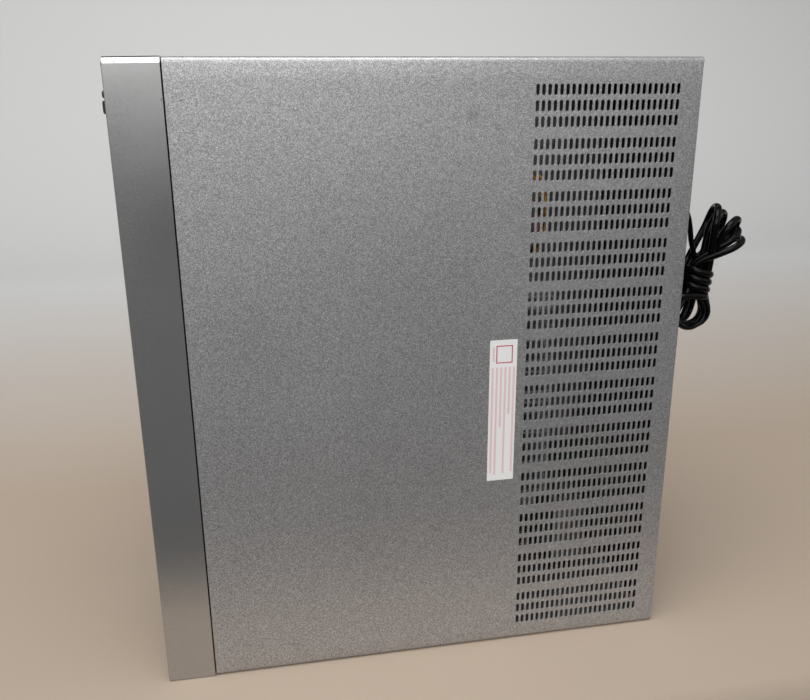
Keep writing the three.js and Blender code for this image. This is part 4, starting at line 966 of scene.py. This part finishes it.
def make_screws():
    """Domed heads with a cross recess, over plain shanks."""
    head = [(0, 0.25), (1.4, 0.2), (2.6, 0.12), (3.6, 0.3), (4.3, 0.75), (4.5, 1.3), (2, 1.35)]
    for end, side in (("low", -1), ("high", 1)):
        for i in (1, 2):
            node = f"{end}_screw_{i}"
            low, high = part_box(node)
            length = (high.z - low.z) / MM
            shank = [(2, length - 1.5), (1.2, length), (0, length)]
            screw = shift_to(node, head + shank, "z", "cover_paint", side, sides=40)
            cross = cross_cutter(low, high, side)
            cut = screw.modifiers.new("recess", "BOOLEAN")
            cut.operation, cut.object, cut.solver = "DIFFERENCE", cross, "EXACT"
            cut.use_self = True
            settle(screw)
            mesh = cross.data
            bpy.data.objects.remove(cross)
            bpy.data.meshes.remove(mesh)


TAIL_START, TAIL_RADIUS, TAIL_TAPER, RIB_PITCH = 13.0, 5.6, 1.6, 2.4


def make_relief():
    """A collar clipped in the rear panel, and a tail with ribs that tapers towards the lead."""
    low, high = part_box("strain_relief")
    length = (high.x - low.x) / MM
    profile = [(3, 0), (8, 0), (8, 6.6), (6, 6.7), (6, 8.5), (8, 8.6), (8, 11.6), (7.4, 12.3),
               (5.8, TAIL_START)]
    at = TAIL_START
    while at < length - RIB_PITCH:
        taper = TAIL_RADIUS - TAIL_TAPER * (at - TAIL_START) / (length - TAIL_START)
        profile += [(taper, at + 0.3), (taper - 0.1, at + 1.3)]
        profile += [(taper - 0.9, at + 1.5), (taper - 0.9, at + 2.1)]
        at += RIB_PITCH
    profile += [(3.9, length - 0.4), (3.6, length), (3.0, length), (3.0, 0)]
    return shift_to("strain_relief", profile, "x", "black_plastic", sides=40, sharp=50)


make_feet()
make_screws()
make_lead(make_relief())

# ---- Rear terminals ----


JACK_ROWS, JACK_COLUMNS, JACK_PITCH, JACK_MARGIN = 2, 6, 16, 8
# The small screws of the rear panel, as shares of its depth (y) and its width (z).
PANEL_SCREWS = ((0.06, 0.04), (0.06, 0.35), (0.06, 0.66), (0.06, 0.96), (0.94, 0.04), (0.94, 0.35),
                (0.94, 0.66), (0.94, 0.96), (0.5, 0.03), (0.45, 0.97))


def make_post_caps():
    """Fluted caps, open at the back and hollow to near their ends."""
    for i in range(1, 5):
        node = f"post_cap_{i}"
        low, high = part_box(node)
        length = (high.x - low.x) / MM
        collar = [(2.9, 0), (4.3, 0), (4.4, 0.4), (4.4, 4.6), (5.5, 5)]
        grip = [(5.9, 5.6), (5.9, length - 1.6), (5.4, length - 0.5)]
        end = [(4.4, length), (0, length), (0, length - 5), (2.9, length - 5), (2.9, 0)]
        shift_to(node, collar + grip + end, "x", "cap_black", body=node, sides=144, ribs=12, rib_depth=0.8,
                 rib_span=(5, 7))


def make_jacks():
    """A colour ring and an insulating core for each phono jack."""
    ring = [(4.35, 0), (6.4, 0), (6.4, 1.2), (5.9, 1.9), (4.9, 2.1), (4.35, 2.1), (4.35, 0)]
    core = [(0, 5), (1.75, 5), (3.0, 5), (3.0, 9.2), (1.75, 9.4), (1.75, 5.4), (0, 5.4)]
    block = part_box("phono_jack_block")[0]
    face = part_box("rear_panel")[1].x
    for row in range(JACK_ROWS):
        for column in range(JACK_COLUMNS):
            place = (face, block.y + (JACK_MARGIN + JACK_PITCH * row) * MM,
                     block.z + (JACK_MARGIN + JACK_PITCH * column) * MM)
            slot = "insulator_red" if row else "insulator_white"
            end = f"{row + 1}_{column + 1}"
            turned_piece("jack_ring_" + end, ring, "x", place, slot)
            turned_piece("jack_core_" + end, core, "x", place, slot, sides=24)


def make_panel_screws():
    screw = [(0, -0.6), (1.5, -0.6), (1.5, 0.02), (2.9, 0.02), (2.8, 0.7), (2.0, 1.35), (1.1, 1.5),
             (0.9, 0.9), (0, 0.9)]
    low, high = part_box("rear_panel")
    for i, (u, v) in enumerate(PANEL_SCREWS):
        place = (high.x, low.y + (high.y - low.y) * u, low.z + (high.z - low.z) * v)
        turned_piece(f"panel_screw_{i + 1}", screw, "x", place, "zinc_steel", sides=28)


make_post_caps()
make_jacks()
make_panel_screws()

# ---- Insides: capacitors, wires, and parts on the boards ----

WIRE_COLOURS = ("wire_insulation", "wire_insulation", "wire_brown", "wire_pink", "wire_insulation",
                "wire_brown", "wire_pink")
WIRE_RADIUS = 0.95


def make_capacitors():
    """Sleeved cans with a rolled rim and a groove near the vented end."""
    for i in (1, 2):
        node = f"filter_capacitor_{i}"
        low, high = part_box(node)
        length = (high.y - low.y) / MM
        face = [(0, 1.0), (2.5, 1.0), (2.7, 0.6), (3.0, 1.0), (14.4, 1.0), (15.0, 0.3), (15.9, 0)]
        side = [(17.0, 0.4), (17.5, 1.4), (17.5, 5), (17.1, 5.6), (17.1, 6.4), (17.5, 7), (17.5, length)]
        shift_to(node, face + side + [(0, length)], "y", "capacitor_sleeve", sides=72)


def wire_line(points):
    """A smooth line through points, as (place, width direction) pairs."""
    steps = 14
    points = [points[0], *points, points[-1]]
    line = []
    for a, b, c, d in zip(points, points[1:], points[2:], points[3:]):
        for k in range(steps):
            t = k / steps
            line.append(0.5 * (2 * b + (c - a) * t + (2 * a - 5 * b + 4 * c - d) * t * t
                               + (3 * b - a - 3 * c + d) * t ** 3))
    line.append(points[-1])
    return [(p, Vector((0.3, 0.2, 0.93))) for p in line]


def make_wires():
    """Seven loose wires in place of the bundle, from the transformer past the vents to the amplifier."""
    core_low, core_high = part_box("transformer_core")
    sink_low, sink_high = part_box("heatsink")
    cover_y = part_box("top_cover")[0].y / MM
    board_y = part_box("amplifier_board")[0].y / MM
    start = Vector((core_high.x, core_low.y, (core_low.z + core_high.z) / 2)) / MM
    sink_x, sink_end = sink_low.x / MM, sink_high.z / MM
    draw = random.Random(11)

    def near(x, y, z, spread):
        """A point drawn within the spread of a place, and a little less in depth."""
        return Vector((x + draw.uniform(-spread, spread), y + draw.uniform(-spread, spread) * 0.6,
                       z + draw.uniform(-spread, spread)))

    for i, colour in enumerate(WIRE_COLOURS):
        drop = 3 * i
        points = [
            near(start.x + 8, start.y + 6, start.z, 3),
            near(start.x + 40, cover_y + 24, start.z - 2, 5),
            near(sink_x - 4, cover_y + 12, start.z - 6 - drop, 3.5),
            near(sink_x + 14, cover_y + 11, start.z - 22 - drop, 4),
            near(sink_x + 12, cover_y + 22, sink_end + 24, 4),
            near(sink_x + 4, cover_y + 50, sink_end + 16, 3),
            near(sink_x - 6, board_y - 30, sink_end + 10, 2),
            near(sink_x - 10, board_y - 1, sink_end + 4, 3),
        ]
        name = f"wire_{i + 1}"
        tube = sweep(name, wire_line(points), WIRE_RADIUS * 2, WIRE_RADIUS * 2, 8)
        wire = place_piece(name, tube, colour)
        if i == 0:
            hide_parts("wire_harness")


PART_GAP, BOARD_MARGIN, TRIES = 0.6, 3, 6


def overlaps(a, b):
    return a[0] < b[1] and b[0] < a[1] and a[2] < b[3] and b[2] < a[3]


def scatter_parts(board, slot, seed, count, heights, keep_out):
    """Small components that stand on a board's component side, as one piece."""
    low, high = (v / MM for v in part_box(board))
    draw = random.Random(seed)
    boxes, placed = [], []
    for _ in range(count * TRIES):
        if len(boxes) >= count:
            break
        w, l, h = draw.uniform(2, 7), draw.uniform(3, 10), draw.uniform(*heights)
        x = draw.uniform(low.x + BOARD_MARGIN, high.x - BOARD_MARGIN - w)
        z = draw.uniform(low.z + BOARD_MARGIN, high.z - BOARD_MARGIN - l)
        room = (x - PART_GAP, x + w + PART_GAP, z - PART_GAP, z + l + PART_GAP)
        if any(overlaps(room, other) for other in placed + keep_out):
            continue
        placed.append(room)
        boxes.append(((x, low.y - h, z), (x + w, low.y + 0.05, z + l)))
    boxes_piece(board + "_parts", boxes, slot, 0.35)


def footprint(*nodes):
    """The room that each node takes on its board, as (low x, high x, low z, high z)."""
    boxes = []
    for node in nodes:
        low, high = (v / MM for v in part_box(node))
        boxes.append((low.x - 1, high.x + 1, low.z - 1, high.z + 1))
    return boxes


make_capacitors()
make_wires()
scatter_parts("amplifier_board", "capacitor_sleeve", 3, 34, (3, 16), footprint(
    "heatsink", "power_module_1", "power_module_2", "filter_capacitor_1", "filter_capacitor_2",
    "wire_harness"))
scatter_parts("input_board", "black_plastic", 5, 16, (2, 9), footprint(
    "tuner_module", "ribbon_cable", "phono_jack_block"))
scatter_parts("power_supply_board", "capacitor_sleeve", 7, 8, (3, 10), footprint(
    "mains_fuse", "speaker_relay"))


def make_fuse():
    """A glass tube with a raised cap at each end."""
    low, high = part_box("mains_fuse")
    radius, length = (high.z - low.z) / 2 / MM, (high.x - low.x) / MM
    near_cap = [(0, 0), (radius - 0.4, 0), (radius, 0.4), (radius, 5.6), (radius - 0.35, 6)]
    far_cap = [(r, length - h) for r, h in reversed(near_cap)]
    shift_to("mains_fuse", near_cap + far_cap, "x", "display_glass", sides=32)


make_fuse()
